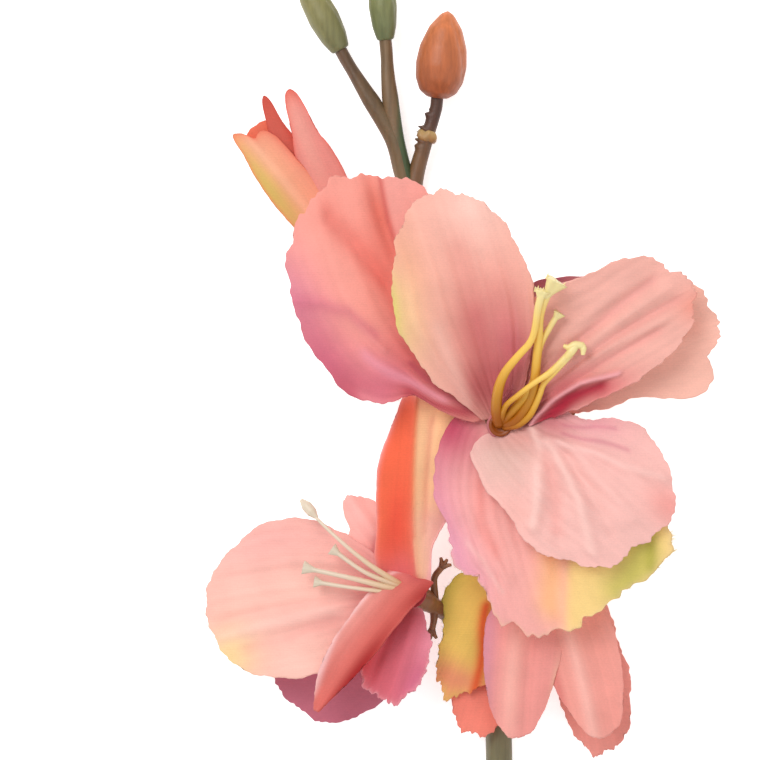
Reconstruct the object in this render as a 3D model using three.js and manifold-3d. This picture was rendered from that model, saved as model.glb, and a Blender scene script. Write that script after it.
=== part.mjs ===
// A cut gladiolus of the silk kind: fabric petals and moulded plastic stems, lying on a table with its
// blooms facing up. Millimetres, +Z up, +Y along the stem towards its tip. The origin is on the table,
// on the flat underside of the stem, just above the cut end.
import * as THREE from "three";
import { mergeVertices } from "three/addons/utils/BufferGeometryUtils.js";
import Module from "manifold-3d";

const wasm = await Module();
wasm.setup();

// ---- driving dimensions ----
const STEM_START = -10; // the cut end lies this far behind the origin
const STEM_RADIUS = 3.6;
const STEM_SIDES = 8;
const STEM_HEIGHT = STEM_RADIUS * Math.cos(Math.PI / STEM_SIDES); // its axis, when a flat side is down
const STEM_BEND = 420; // straight up to here, then it leans left to the fork
const FORK = [-22, 547, 5];
const WIRE_RADIUS = 0.9;
const WIRE_END = 380;
const GAP = 0.3; // between pieces that are pushed or glued together

const FABRIC = 0.8; // thickness of a petal
const LEAF_THICKNESS = 0.9;
const LEAF_ROWS = 20;
const LEAF_COLUMNS = 6;

// Each bloom is stacked on its axis. Heights are from the outer whorl's ring, along the axis.
const PIN_RADIUS = 1.4;
const PIN_DEPTH = 8;
const RING_RADIUS = 4.2;
const RING_HOLE = PIN_RADIUS + 0.4;
const RING_HALF = 0.7;
const WHORL_STEP = 2 * RING_HALF + 0.4;
const PETAL_START = 3.2; // a petal's root lies this far from the axis, inside its ring
const HEAD_RADIUS = 2.3;
const HEAD_BASE = WHORL_STEP + RING_HALF + GAP; // the underside of the stamens' head
const CUP_TOP = -RING_HALF - GAP;
const CUP_RADIUS = 4.5;
const PEG_RADIUS = 1.6; // the end of a branch, which goes into the foot of a calyx or bud
const PEG_DEPTH = 3.5;
const SOCKET_RADIUS = PEG_RADIUS + 0.4;
const SOCKET_DEPTH = 4.5;
const FOOT_RADIUS = 3.0;

const BROWN = { color: 0x6b4a30, roughness: 0.5, metalness: 0 };
const GREEN = { color: 0x5c6b3c, roughness: 0.55, metalness: 0 };
const YELLOW = { color: 0xe8b93a, roughness: 0.4, metalness: 0 };
const CREAM = { color: 0xe9dcb0, roughness: 0.4, metalness: 0 };
const CORAL = { color: 0xee8f80, roughness: 0.85, metalness: 0 };
const PINK = { color: 0xf3b4a6, roughness: 0.85, metalness: 0 };
const AMBER = { color: 0xa65218, roughness: 0.35, metalness: 0 };
const STEEL = { color: 0x9a9a98, roughness: 0.4, metalness: 1 };

// ---- the four blooms: the hub of each is the middle of its outer ring, the axis points out of its throat.
// A petal's belly and tip are measured from the hub. Its widths are left and right of its middle line, seen
// from inside the bloom with the tip up. A lobe is [degrees from the tip, spread, height]. ----
const MAIN = {
  hub: [0, 490, 30],
  axis: [0, 0, 1],
  length: 20.5,
  grid: [8, 8], // the facets of a petal, along and across
  claws: [
    [[3, 0.3, -3], [10, 1, -3.6], [17, 1.6, -2.6]],
    [[-1.8, 2.4, -3], [-6, 9, -4], [-9, 14, -4]],
    [[-1.3, -2.8, -3], [-3.5, -7, -4.5], [-5, -10.5, -5]],
  ],
  filaments: [
    { points: [[-0.3, 0.3, 3.6], [-0.6, 4, 8], [-0.3, 10, 12.5], [5.3, 22.3, 20], [9.1, 33, 25]],
      radii: [1.1, 0.9, 0.8, 0.75, 1.1, 0.7] },
    { points: [[0.3, 0.6, 3.6], [2.3, 5.5, 8], [6.4, 16.7, 16], [9.4, 28.4, 22], [12.2, 34.7, 25]],
      radii: [1, 0.8, 0.7, 0.7, 0.7, 1.5] },
    { points: [[0.6, 0.5, 3.5], [3.3, 4.6, 7], [8, 14.7, 13.5], [14.2, 27.7, 19]],
      radii: [0.9, 0.7, 0.7, 0.8] },
    { points: [[0.5, 0.2, 3.5], [2.8, 3.8, 7], [10, 12.2, 12.8], [17, 17.9, 17]],
      radii: [0.9, 0.8, 0.7, 0.7] },
    { points: [[0.6, -0.2, 3.5], [3.6, 2.2, 6.5], [10.8, 10, 11.8], [17.8, 16.9, 17]],
      radii: [0.9, 0.8, 0.7, 0.7] },
    { points: [[15.6, 20.1, 17.2], [17.2, 18.6, 17.3], [18.8, 17, 17.2]],
      radii: [0.8, 1, 0.8] },
  ],
  inner: [
    { belly: [-6, 31, 18], tip: [-16, 58, 18], face: [-0.2, -0.35, 1], wide: [19, 16.5], widest: 0.56,
      root: 0.18, curl: 0.02, lobes: [[-75, 25, 1.5], [-132, 20, 3], [30, 25, -0.8]] },
    { belly: [14, 15.5, 18], tip: [47, 34.5, 15], face: [-0.25, -0.3, 1], wide: [13.5, 12], widest: 0.62,
      root: 0.2, curl: 0.015, lobes: [[-60, 25, 2.5], [-100, 22, 3], [60, 25, 2]] },
    { belly: [15.5, -11, 16], tip: [37, -30.5, 8], face: [0, 0.05, 1], wide: [21, 20], widest: 0.58,
      root: 0.2, curl: -0.01, lobes: [[-60, 25, 1], [40, 20, -1], [60, 25, 0.8], [132, 25, 4.5]] },
  ],
  outer: [
    { belly: [-29, 18, 10], tip: [-39.5, 59.5, 4], face: [0.1, 0, 1], wide: [22.5, 24], widest: 0.6,
      root: 0.14, lobes: [[40, 18, 4], [-142, 20, -5.5]] },
    { belly: [25, 16.5, 7], tip: [55, 26, 5], wide: [21, 10.5], widest: 0.6, root: 0.15,
      lobes: [[60, 20, 3.5], [-104, 16, 8]] },
    { belly: [3.5, -28.5, 8], tip: [13.5, -51.5, 2], wide: [27, 21.5], widest: 0.55, root: 0.15,
      lobes: [[-72, 24, 10], [-100, 20, 2], [140, 22, 7]] },
  ],
};
const LEFT = {
  hub: [-21, 447, 20],
  axis: [-0.62, 0.4, 0.68],
  length: 15,
  grid: [7, 6],
  claws: [
    [[5.5, -4.2, -5.2], [6.4, 0, -4], [6.8, 5, -1.5], [9, 7.6, 0.6]],
    [[4.8, -4, -5], [4.6, -7, -5.5], [4.2, -9, -5.4]],
    [[4.8, -4, -5.5], [3, -1.5, -10], [0, 0.5, -12]],
  ],
  filaments: [
    { points: [[-1.8, 1.4, 1.8], [-6, 4.2, 5.5], [-11.5, 7.9, 8], [-17.8, 13, 9], [-24.5, 19.2, 7],
      [-27.1, 22.1, 5]],
      radii: [0.9, 0.6, 0.5, 0.5, 0.5, 0.5] },
    { points: [[-1.8, 1.4, 1.8], [-5.5, 3, 5], [-12.8, 6.1, 7], [-20.8, 11.6, 6]],
      radii: [0.9, 0.6, 0.6, 0.7] },
    { points: [[-1.9, 1.2, 1.7], [-6, 2, 5], [-16.5, 4.6, 6], [-27.9, 7, 4]],
      radii: [0.9, 0.6, 0.6, 0.9] },
    { points: [[-1.9, 1.1, 1.6], [-5.5, 1, 4.5], [-15.3, 2, 5], [-25.1, 3.4, 3]],
      radii: [0.9, 0.6, 0.6, 0.9] },
    { points: [[-25.6, 20.4, 6.2], [-27.1, 22.1, 5.2], [-28.6, 23.8, 4.4]],
      radii: [0.4, 1.2, 0.4] },
  ],
  inner: [
    { belly: [-29, 1, 0], tip: [-54, -5.5, -8], face: [0.2, 0.1, 1], wide: [20, 20], widest: 0.52, root: 0.2,
      curl: 0.01, lobes: [[45, 18, -2]] },
    { belly: [-2.5, 24, 9], tip: [2, 50.5, 4], face: [-0.3, 0, 1], wide: [10, 10], widest: 0.5, root: 0.55,
      curl: -0.03, lobes: [[50, 25, 6]] },
    { belly: [-8, -2, 12], tip: [-24.5, -27.5, 4], face: [-0.3, 0.3, 1], wide: [9, 9], widest: 0.5, root: 0.4,
      curl: -0.05 },
  ],
  outer: [
    { belly: [-7.5, 8, -3], tip: [-15.5, 24, -4], wide: [7, 9], widest: 0.6, root: 0.2, lobes: [[0, 25, 1]] },
    { belly: [-3, -12.5, 5], tip: [-8, -26.5, 0], wide: [9, 10], widest: 0.6, root: 0.2, curl: -0.02 },
    { belly: [-16.5, -15.5, -8], tip: [-33, -27.5, -19], wide: [15, 15], widest: 0.6, root: 0.2 },
  ],
};
const RIGHT = {
  hub: [11, 455, 14],
  axis: [0.15, -0.8, 0.58],
  length: 14,
  grid: [6, 6],
  claws: [
    [[-3.4, 4.9, -4.6], [-7.5, 4.5, -3.5], [-10.5, 2.5, -2.5]],
    [[-3.4, 4.9, -4.6], [0.5, 8.5, -3], [4.5, 9.5, -1.5]],
  ],
  filaments: [
    { points: [[0.9, -3.1, 2.4], [2.6, -6.5, 3.4], [4, -14.4, 4], [5.6, -26, 1.5]],
      radii: [0.9, 0.7, 0.6, 1.1] },
    { points: [[0.5, -3.1, 2.4], [1.2, -6.5, 3], [0.8, -13.2, 3], [-0.4, -21, 0.5]],
      radii: [0.9, 0.7, 0.6, 0.8] },
    { points: [[1.2, -3.1, 2.3], [4, -6.5, 3], [8.3, -13.2, 3], [11.8, -21, 0.5]],
      radii: [0.9, 0.7, 0.6, 0.8] },
  ],
  inner: [
    { from: [-3, 0, -0.5], belly: [-16, -11, 6], tip: [-24, -34, -1], wide: [11, 7.5], widest: 0.5,
      root: 0.25, curl: -0.02 },
    { from: [-1.6, 1, 2.5], belly: [-6, -19, 13], tip: [-6.5, -44.5, 2], wide: [10, 10], widest: 0.45,
      root: 0.25, curl: -0.02 },
    { from: [2.5, 1, 1.6], belly: [11, -19, 13], tip: [16.5, -44.5, 2], wide: [11, 11], widest: 0.45,
      root: 0.25, curl: -0.02 },
  ],
  outer: [
    { from: [-2.5, -1, -1.5], belly: [-13, -22, -1], tip: [-18, -44, -4], wide: [11, 8.5], widest: 0.6,
      root: 0.25, curl: -0.02 },
    { from: [0.8, -1, -3], belly: [12, -25, -6], tip: [16, -50, -13.4], wide: [14, 8], widest: 0.6,
      root: 0.25, curl: -0.01 },
    { from: [3, 0, -0.8], belly: [12.5, -14, -3], tip: [15.5, -36, -6], wide: [9, 8], widest: 0.55,
      root: 0.25, curl: -0.02 },
  ],
};
const BUD = {
  hub: [-38, 534, 11],
  axis: [-0.45, 0.88, 0.12],
  length: 12,
  grid: [6, 4],
  petals: [
    { belly: [-7, 22, 6], tip: [-15.5, 40.5, 2], wide: [6.5, 6.5], widest: 0.4, root: 0.5, curl: -0.1 },
    { belly: [-16, 22, 3], tip: [-21.5, 39, 1], wide: [5, 5], widest: 0.4, root: 0.5, curl: -0.08 },
    { belly: [-16.5, 16.5, 8], tip: [-28.5, 30, 2], wide: [5.5, 7], widest: 0.45, root: 0.5, curl: -0.08 },
    { belly: [-16, 18, 1], tip: [-27, 33, 0], wide: [6, 6], widest: 0.45, root: 0.5, curl: -0.08 },
  ],
};

// ---- the closed buds at the tip, and the sword leaves. A leaf's line gives x, y and the rise over the
// height at which it clasps the stem; its width is half of what it is at its widest. ----
const CLOSED = [[2.4, 0], [3.4, 3.5], [4, 9], [3.6, 15], [2.2, 21], [0.8, 25], [0, 25.6]];
const ROUND = [[2.6, 0], [4.8, 1.5], [6.1, 4.5], [6.5, 8.5], [6, 13], [4.2, 18], [1.6, 21.5], [0, 22.3]];
const TOP_BUDS = [
  {
    name: "left_top_bud", finish: GREEN, profile: CLOSED, width: 1, height: 1,
    hub: [-40, 585.5, 7], axis: [-0.47, 0.88, 0.05], length: 0,
    route: [[-24.2, 554.5, 5.4], [-26.4, 562.5, 6], [-34.5, 576, 6.7]], radii: [2.4, 2.3, 2.2, 2.2],
  },
  {
    name: "middle_top_bud", finish: GREEN, profile: CLOSED, width: 0.9, height: 0.95,
    hub: [-28.6, 588, 7.5], axis: [-0.08, 0.99, 0.08], length: 0,
    route: [[-24, 554.5, 5.4], [-26, 564, 6.2], [-27.9, 577, 6.9]], radii: [2.4, 2.2, 2.1, 2.1],
  },
  {
    name: "right_top_bud", finish: AMBER, profile: ROUND, width: 1, height: 1,
    hub: [-15.4, 573.3, 7], axis: [0.12, 0.98, 0.1], length: 0,
    route: [[-20.6, 554.5, 5.4], [-18, 563.5, 6.2]], radii: [2.4, 2.1, 1.9],
  },
];
const KNUCKLE = [-18, 563.5, 6.2]; // a moulded swelling on the right branch
const LEAVES = [
  {
    name: "lower_leaf", wide: 11,
    points: [
      [0, 40, 0], [0, 60, 0], [0, 80, 0.6], [-3, 114, 4.5], [-12, 152, 7.5], [-24, 212, 4], [-36, 270, -3.5],
      [-42, 318, -7],
    ],
  },
  {
    name: "middle_leaf", wide: 11,
    points: [
      [0, 128, 0], [0, 146, 0], [0, 164, 0.6], [3, 198, 4.5], [12, 236, 7.5], [24, 288, 4], [36, 340, -2.5],
      [42, 384, -7],
    ],
  },
  {
    name: "upper_leaf", wide: 8.5,
    points: [
      [0, 214, 0], [0, 227, 0], [0, 240, 0.6], [-2.5, 264, 4.5], [-10, 292, 7.5], [-20, 336, 5.5],
      [-27, 382, 0],
    ],
  },
];

// ---- small helpers ----
const vec = (a) => new THREE.Vector3(...a);
const radians = THREE.MathUtils.degToRad;
const clamp = THREE.MathUtils.clamp;
const UP = new THREE.Vector3(0, 0, 1);
const group = new THREE.Group();

function add(name, solid, finish) {
  const mesh = new THREE.Mesh(geometryOf(solid), new THREE.MeshStandardMaterial(finish));
  mesh.name = name;
  group.add(mesh);
}

// A closed geometry with its shared corners merged, as a solid that can be joined and cut.
function solidOf(geometry) {
  const bare = geometry.clone();
  bare.deleteAttribute("normal");
  bare.deleteAttribute("uv");
  const merged = mergeVertices(bare, 1e-4);
  return new wasm.Manifold(
    new wasm.Mesh({
      numProp: 3,
      vertProperties: new Float32Array(merged.attributes.position.array),
      triVerts: new Uint32Array(merged.index.array),
    }),
  );
}

function geometryOf(solid) {
  const mesh = solid.getMesh();
  return new THREE.BufferGeometry()
    .setAttribute("position", new THREE.BufferAttribute(new Float32Array(mesh.vertProperties), 3))
    .setIndex(new THREE.BufferAttribute(new Uint32Array(mesh.triVerts), 1));
}

const join = (solids) => solids.reduce((whole, next) => whole.add(next));

// A closed solid from a list of points and a list of triangles.
function faceted(points, triangles) {
  const geometry = new THREE.BufferGeometry();
  geometry.setAttribute("position", new THREE.Float32BufferAttribute(points.flatMap((p) => p.toArray()), 3));
  geometry.setIndex(triangles.flat());
  return solidOf(geometry);
}

// A solid of revolution from [radius, height] pairs, along an axis from a place.
function lathe(profile, sides, place, axis) {
  const geometry = new THREE.LatheGeometry(profile.map(([r, h]) => new THREE.Vector2(r, h)), sides);
  const stand = new THREE.Vector3(0, 1, 0);
  geometry.applyQuaternion(new THREE.Quaternion().setFromUnitVectors(stand, axis));
  geometry.translate(place.x, place.y, place.z);
  return solidOf(geometry);
}

// A value from a list of values spread evenly over 0 to 1.
function spread(values, u) {
  const k = u * (values.length - 1);
  const low = Math.min(Math.floor(k), values.length - 2);
  return values[low] + (values[low + 1] - values[low]) * (k - low);
}

// A tapered rod: rings of corners round a smooth curve through the points, with a flat side turned away
// from `over`. The radii are spread evenly along the curve.
function rod(points, radii, sides, rings, over = UP) {
  const curve = new THREE.CatmullRomCurve3(points, false, "centripetal");
  const corners = [];
  for (let i = 0; i <= rings; i++) {
    const at = curve.getPointAt(i / rings);
    const along = curve.getTangentAt(i / rings);
    const side = new THREE.Vector3().crossVectors(along, over).normalize();
    const top = new THREE.Vector3().crossVectors(side, along);
    const radius = spread(radii, i / rings);
    for (let j = 0; j < sides; j++) {
      const turn = (2 * Math.PI * (j + 0.5)) / sides - Math.PI / 2;
      const corner = at.clone().addScaledVector(side, radius * Math.cos(turn));
      corners.push(corner.addScaledVector(top, radius * Math.sin(turn)));
    }
  }
  const first = corners.push(curve.getPointAt(0)) - 1;
  const last = corners.push(curve.getPointAt(1)) - 1;
  const faces = [];
  for (let j = 0; j < sides; j++) {
    const k = (j + 1) % sides;
    faces.push([first, j, k], [last, rings * sides + k, rings * sides + j]);
    for (let i = 0; i < rings; i++) {
      const a = i * sides + j;
      const b = i * sides + k;
      faces.push([a, b + sides, b], [a, a + sides, b + sides]);
    }
  }
  return faceted(corners, faces);
}

// A thin closed blade on a surface(a, v), with a from root to tip and v from -1 to 1 across. Both faces
// are half the thickness off the surface and are split into triangles alike.
function blade(surface, rows, columns, thickness) {
  const step = 1e-3;
  const width = columns + 1;
  const top = [];
  const bottom = [];
  for (let i = 0; i <= rows; i++) {
    for (let j = 0; j <= columns; j++) {
      const a = i / rows;
      const v = (2 * j) / columns - 1;
      const along = surface(Math.min(a + step, 1), v).sub(surface(Math.max(a - step, 0), v));
      const across = surface(a, Math.min(v + step, 1)).sub(surface(a, Math.max(v - step, -1)));
      const normal = across.cross(along).normalize();
      top.push(surface(a, v).addScaledVector(normal, thickness / 2));
      bottom.push(surface(a, v).addScaledVector(normal, -thickness / 2));
    }
  }
  const under = top.length;
  const faces = [];
  for (let i = 0; i < rows; i++) {
    for (let j = 0; j < columns; j++) {
      const a = i * width + j;
      const [b, c, d] = [a + 1, a + width + 1, a + width];
      faces.push([a, b, c], [a, c, d]);
      faces.push([under + c, under + b, under + a], [under + d, under + c, under + a]);
    }
  }
  const edge = [];
  for (let j = 0; j < columns; j++) edge.push(j);
  for (let i = 0; i < rows; i++) edge.push(i * width + columns);
  for (let j = columns; j > 0; j--) edge.push(rows * width + j);
  for (let i = rows; i > 0; i--) edge.push(i * width);
  edge.forEach((a, i) => {
    const b = edge[(i + 1) % edge.length];
    faces.push([b, a, under + a], [b, under + a, under + b]);
  });
  return faceted([...top, ...bottom], faces);
}

// ---- petals ----
// A petal's outline on a grid: it widens as a sine from its root to its widest place, and beyond that it is
// half an ellipse. Returns how far along it is and how far across, each as a share.
function outline(a, v, widest, root) {
  if (a <= widest) return [a, v * (root + (1 - root) * Math.sin(((a / widest) * Math.PI) / 2))];
  const beyond = (a - widest) / (1 - widest);
  return [
    widest + (1 - widest) * beyond * Math.sqrt(1 - (v * v) / 2),
    v * Math.sqrt(1 - (beyond * beyond) / 2),
  ];
}

// How far the lobes push the outline out at this place, and in which direction.
function lobed(along, across, widest, lobes) {
  const up = along > widest ? (along - widest) / (1 - widest) : (along - widest) / widest;
  const angle = Math.atan2(across, up);
  const reach = Math.min(Math.hypot(up, across), 1);
  let out = 0;
  for (const [at, width, height] of lobes) {
    out += height * Math.exp(-(((THREE.MathUtils.radToDeg(angle) - at) / width) ** 2));
  }
  return [out * reach * reach * Math.cos(angle), out * reach * reach * Math.sin(angle)];
}

// A petal's middle surface: its middle line is a curve from the ring through its belly to its tip, and its
// cross-section is an arc, so that its sides curl up, or down where the curl is below 0. A margin widens it.
function petalSurface(bloom, petal, lift, margin = 0) {
  const axis = vec(bloom.axis).normalize();
  const belly = vec(petal.belly);
  const tip = vec(petal.tip);
  const start = vec(petal.from ?? petal.belly);
  start.addScaledVector(axis, -start.dot(axis));
  start.setLength(PETAL_START).addScaledVector(axis, lift);
  const length = 0.55 * (belly.length() + tip.distanceTo(belly));
  const face = vec(petal.face ?? [0, 0, 1]).normalize();
  const line = new THREE.QuadraticBezierCurve3(start, belly, tip);
  return (a, v) => {
    const [s0, t] = outline(a, v, petal.widest, petal.root);
    const [outAlong, outAcross] = lobed(s0, t, petal.widest, petal.lobes ?? []);
    const s = s0 + (outAlong + margin * (2 * a - 1)) / length;
    const along = belly.clone().sub(start).multiplyScalar(2 * (1 - s));
    along.addScaledVector(tip.clone().sub(belly), 2 * s).normalize();
    const across = new THREE.Vector3().crossVectors(along, face).normalize();
    const normal = new THREE.Vector3().crossVectors(across, along);
    const x = t * petal.wide[t < 0 ? 0 : 1] + outAcross + margin * v;
    const k = (petal.curl ?? 0) + 1e-6;
    const point = line.getPoint(s).add(vec(bloom.hub));
    point.addScaledVector(across, Math.sin(k * x) / k);
    return point.addScaledVector(normal, (1 - Math.cos(k * x)) / k);
  };
}

// The space round the pin that a whorl leaves free: the cup under its ring, the hole, and the head over it.
const THROAT = 9; // how far it reaches under and over the ring
function throat(margin) {
  const cup = CUP_RADIUS + GAP - margin;
  const hole = RING_HOLE - margin;
  const head = HEAD_RADIUS + GAP - margin;
  const half = RING_HALF + margin;
  return [
    [0, -THROAT], [cup, -THROAT], [cup, -half], [hole, -half],
    [hole, half], [head, half], [head, THROAT], [0, THROAT],
  ];
}

// A whorl of petals on the ring that the pin goes through, as one blank of fabric. A margin swells it.
function whorl(bloom, petals, lift, margin = 0) {
  const axis = vec(bloom.axis).normalize();
  const middle = vec(bloom.hub).addScaledVector(axis, lift);
  const radius = RING_RADIUS + margin;
  const half = RING_HALF + margin;
  const ring = lathe([[0, -half], [radius, -half], [radius, half], [0, half]], 12, middle, axis);
  const blades = petals.map((petal) => {
    return blade(petalSurface(bloom, petal, lift, margin), ...bloom.grid, FABRIC + 2 * margin);
  });
  return join([ring, ...blades]).subtract(lathe(throat(margin), 10, middle, axis));
}

// The outer whorl, cut clear of the inner one where they come near each other.
function outerWhorl(bloom) {
  return whorl(bloom, bloom.outer, 0).subtract(whorl(bloom, bloom.inner, WHORL_STEP, GAP));
}

// The rolled petals of a bud that is half open, on a plug that is pushed into its calyx.
function budPetals(bloom) {
  const plug = [
    [0, -PIN_DEPTH], [PIN_RADIUS, -PIN_DEPTH], [PIN_RADIUS, -RING_HALF], [RING_RADIUS, -RING_HALF],
    [RING_RADIUS, RING_HALF], [0, RING_HALF],
  ];
  const blades = bloom.petals.map((petal) => blade(petalSurface(bloom, petal, 0), ...bloom.grid, FABRIC));
  return join([lathe(plug, 12, vec(bloom.hub), vec(bloom.axis).normalize()), ...blades]);
}

// ---- calyx and stamens ----
const fromHub = (bloom, points) => points.map((p) => vec(p).add(vec(bloom.hub)));

// A claw: an arm from the cup that ends in three small fingers.
const FINGER_LENGTH = 2.6;
function claw(bloom, points) {
  const path = fromHub(bloom, points);
  const tip = path.at(-1);
  const heading = tip.clone().sub(path.at(-2)).normalize();
  const side = new THREE.Vector3().crossVectors(heading, UP).normalize();
  const fingers = [-0.8, 0, 0.8].map((lean) => {
    const reach = heading.clone().addScaledVector(side, lean).setLength(FINGER_LENGTH);
    return rod([tip.clone(), tip.clone().add(reach)], [0.75, 0.4], 4, 1);
  });
  return join([rod(path, [1.5, 1.2, 0.9], 5, 3), ...fingers]);
}

// The plastic cup behind a bloom: it holds the pin in its mouth, and the branch's peg goes into its foot.
function calyx(bloom, claws) {
  const foot = -bloom.length;
  const cup = [
    [0, foot + SOCKET_DEPTH], [SOCKET_RADIUS, foot + SOCKET_DEPTH], [SOCKET_RADIUS, foot],
    [FOOT_RADIUS, foot], [FOOT_RADIUS + 0.6, foot + 1.2], [FOOT_RADIUS, foot + 2.4], [3.4, -7],
    [CUP_RADIUS, -3.5], [3.6, CUP_TOP], [PIN_RADIUS + GAP, CUP_TOP], [PIN_RADIUS + GAP, -PIN_DEPTH - GAP],
    [0, -PIN_DEPTH - GAP],
  ];
  const body = lathe(cup, 10, vec(bloom.hub), vec(bloom.axis).normalize());
  const clear = lathe(
    [[0, -PIN_DEPTH - GAP], [PIN_RADIUS + GAP, -PIN_DEPTH - GAP], [PIN_RADIUS + GAP, 2], [0, 2]],
    10, vec(bloom.hub), vec(bloom.axis).normalize(),
  );
  return join([body, ...claws.map((points) => claw(bloom, points))]).subtract(clear);
}

// The pin that holds the whorls on the calyx, with a head that the filaments grow from.
function stamens(bloom, over = UP) {
  const profile = [
    [0, -PIN_DEPTH], [PIN_RADIUS, -PIN_DEPTH], [PIN_RADIUS, HEAD_BASE], [HEAD_RADIUS, HEAD_BASE],
    [HEAD_RADIUS, HEAD_BASE + 1], [1.4, HEAD_BASE + 3], [0, HEAD_BASE + 3.4],
  ];
  const pin = lathe(profile, 10, vec(bloom.hub), vec(bloom.axis).normalize());
  const rods = bloom.filaments.map(({ points, radii }) => rod(fromHub(bloom, points), radii, 5, 6, over));
  return join([pin, ...rods]);
}

// ---- the stem ----
// A branch ends in a peg, which points along the axis of the calyx or bud that is pushed on it.
const PEG_RUN = 3; // the branch is already straight this far before the foot
function branch(points, bloom, radii) {
  const axis = vec(bloom.axis).normalize();
  const foot = vec(bloom.hub).addScaledVector(axis, -bloom.length);
  const path = points.map(vec);
  for (const along of [-PEG_RUN, 0, PEG_DEPTH]) path.push(foot.clone().addScaledVector(axis, along));
  const over = Math.abs(axis.z) > 0.8 ? new THREE.Vector3(1, 0, 0) : UP;
  return rod(path, [...radii, PEG_RADIUS, PEG_RADIUS], 6, 10, over);
}

function stem() {
  const line = [
    [0, STEM_START, STEM_HEIGHT], [0, 140, STEM_HEIGHT], [0, 280, STEM_HEIGHT], [0, STEM_BEND, STEM_HEIGHT],
    [-3, 460, STEM_HEIGHT], [-9, 495, 3.8], [-17, 528, 4.3], FORK,
  ];
  const radii = [STEM_RADIUS, STEM_RADIUS, STEM_RADIUS, STEM_RADIUS, 3.3, 3];
  const main = rod(line.map(vec), radii, STEM_SIDES, 24);
  const florets = [
    branch([[0, 419, STEM_HEIGHT], [-2.5, 428, 5]], LEFT, [2.6, 2.2]),
    branch([[-3, 455, 3.5], [0.2, 463, 3.3], [1.8, 467, 3.2]], RIGHT, [2.4, 2, 1.8]),
    branch([[-5, 473, 3.6], [-1.5, 484, 3.5], [0, 488.5, 4.2]], MAIN, [2.4, 2.1, 2]),
    branch([[-9.5, 497, 3.8], [-17, 506, 4.6], [-25, 512, 7]], BUD, [2.4, 2.1, 2]),
  ];
  const tips = TOP_BUDS.map((bud) => branch([FORK, ...bud.route], bud, bud.radii));
  const knuckle = lathe(
    [[0, -1.6], [2.2, -1.6], [3, -0.4], [2.8, 0.8], [2.1, 1.8], [0, 1.8]],
    10, vec(KNUCKLE), vec([0.25, 0.97, 0]),
  );
  const bore = rod([vec([0, STEM_START - 1, STEM_HEIGHT]), vec([0, WIRE_END, STEM_HEIGHT])],
    [WIRE_RADIUS + GAP, WIRE_RADIUS + GAP], 8, 1);
  return join([main, ...florets, ...tips, knuckle]).subtract(bore);
}

function wire() {
  const ends = [[0, STEM_START - 0.6, STEM_HEIGHT], [0, WIRE_END - GAP, STEM_HEIGHT]];
  return rod(ends.map(vec), [WIRE_RADIUS, WIRE_RADIUS], 8, 1);
}

// A closed bud, pushed on the end of its branch.
function topBud(bud) {
  const socket = [[0, SOCKET_DEPTH], [SOCKET_RADIUS, SOCKET_DEPTH], [SOCKET_RADIUS, 0]];
  const body = bud.profile.map(([r, h]) => [r * bud.width, h * bud.height]);
  return lathe([...socket, ...body], 12, vec(bud.hub), vec(bud.axis).normalize());
}

// ---- leaves ----
// A sword leaf clasps the stem at its foot, opens out, rises off the stem and bends down to the table.
const CLASP_RADIUS = STEM_RADIUS + GAP + LEAF_THICKNESS / 2 + 0.35; // with room for the flats of its arc
const CLASP_HALF_TURN = radians(105);
const CLASP_TOP = STEM_HEIGHT + CLASP_RADIUS;
const LEAF_CURLS = [1 / CLASP_RADIUS, 1 / CLASP_RADIUS, 0.11, 0.05, 0.03, 0.02, 0.015, 0.01, 0.005];
const WIDEST_AT = 0.45;

function leafWidth(s, wide) {
  const open = THREE.MathUtils.smoothstep(s, 0.1, WIDEST_AT);
  const taper = clamp((s - WIDEST_AT) / (1 - WIDEST_AT), 0, 1);
  const base = CLASP_RADIUS * CLASP_HALF_TURN;
  return (base + (wide - base) * open) * Math.cos((taper * Math.PI) / 2) ** 0.85 + 0.5;
}

function leaf({ points, wide }) {
  const route = points.map(([x, y, rise]) => vec([x, y, CLASP_TOP + rise]));
  const line = new THREE.CatmullRomCurve3(route, false, "centripetal");
  const surface = (s, v) => {
    const x = v * leafWidth(s, wide);
    const k = spread(LEAF_CURLS, s);
    const along = line.getTangentAt(s);
    const across = new THREE.Vector3().crossVectors(along, UP).normalize();
    const normal = new THREE.Vector3().crossVectors(across, along);
    const point = line.getPointAt(s).addScaledVector(across, Math.sin(k * x) / k);
    return point.addScaledVector(normal, (Math.cos(k * x) - 1) / k);
  };
  return blade(surface, LEAF_ROWS, LEAF_COLUMNS, LEAF_THICKNESS);
}

// ---- the whole flower ----
add("stem", stem(), BROWN);
add("stem_wire", wire(), STEEL);
for (const [name, bloom, fabric, metal] of [
  ["main", MAIN, PINK, YELLOW],
  ["left", LEFT, CORAL, CREAM],
  ["lower_right", RIGHT, PINK, YELLOW],
]) {
  const over = name === "main" ? new THREE.Vector3(-1, 1, 0).normalize() : UP;
  add(`${name}_calyx`, calyx(bloom, bloom.claws), BROWN);
  add(`${name}_outer_petals`, outerWhorl(bloom), CORAL);
  add(`${name}_inner_petals`, whorl(bloom, bloom.inner, WHORL_STEP), fabric);
  add(`${name}_stamens`, stamens(bloom, over), metal);
}
add("half_open_bud_calyx", calyx(BUD, []), BROWN);
add("half_open_bud_petals", budPetals(BUD), CORAL);
for (const bud of TOP_BUDS) add(bud.name, topBud(bud), bud.finish);
for (const item of LEAVES) add(item.name, leaf(item), GREEN);

export default group;
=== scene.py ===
"""A cut gladiolus of the silk kind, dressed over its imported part, in the part's own frame and in metres.

The flower's pieces are given in millimetres, as in the part's source, and build turns them into metres. The
table, the lights and the camera are given in metres.
"""

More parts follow.
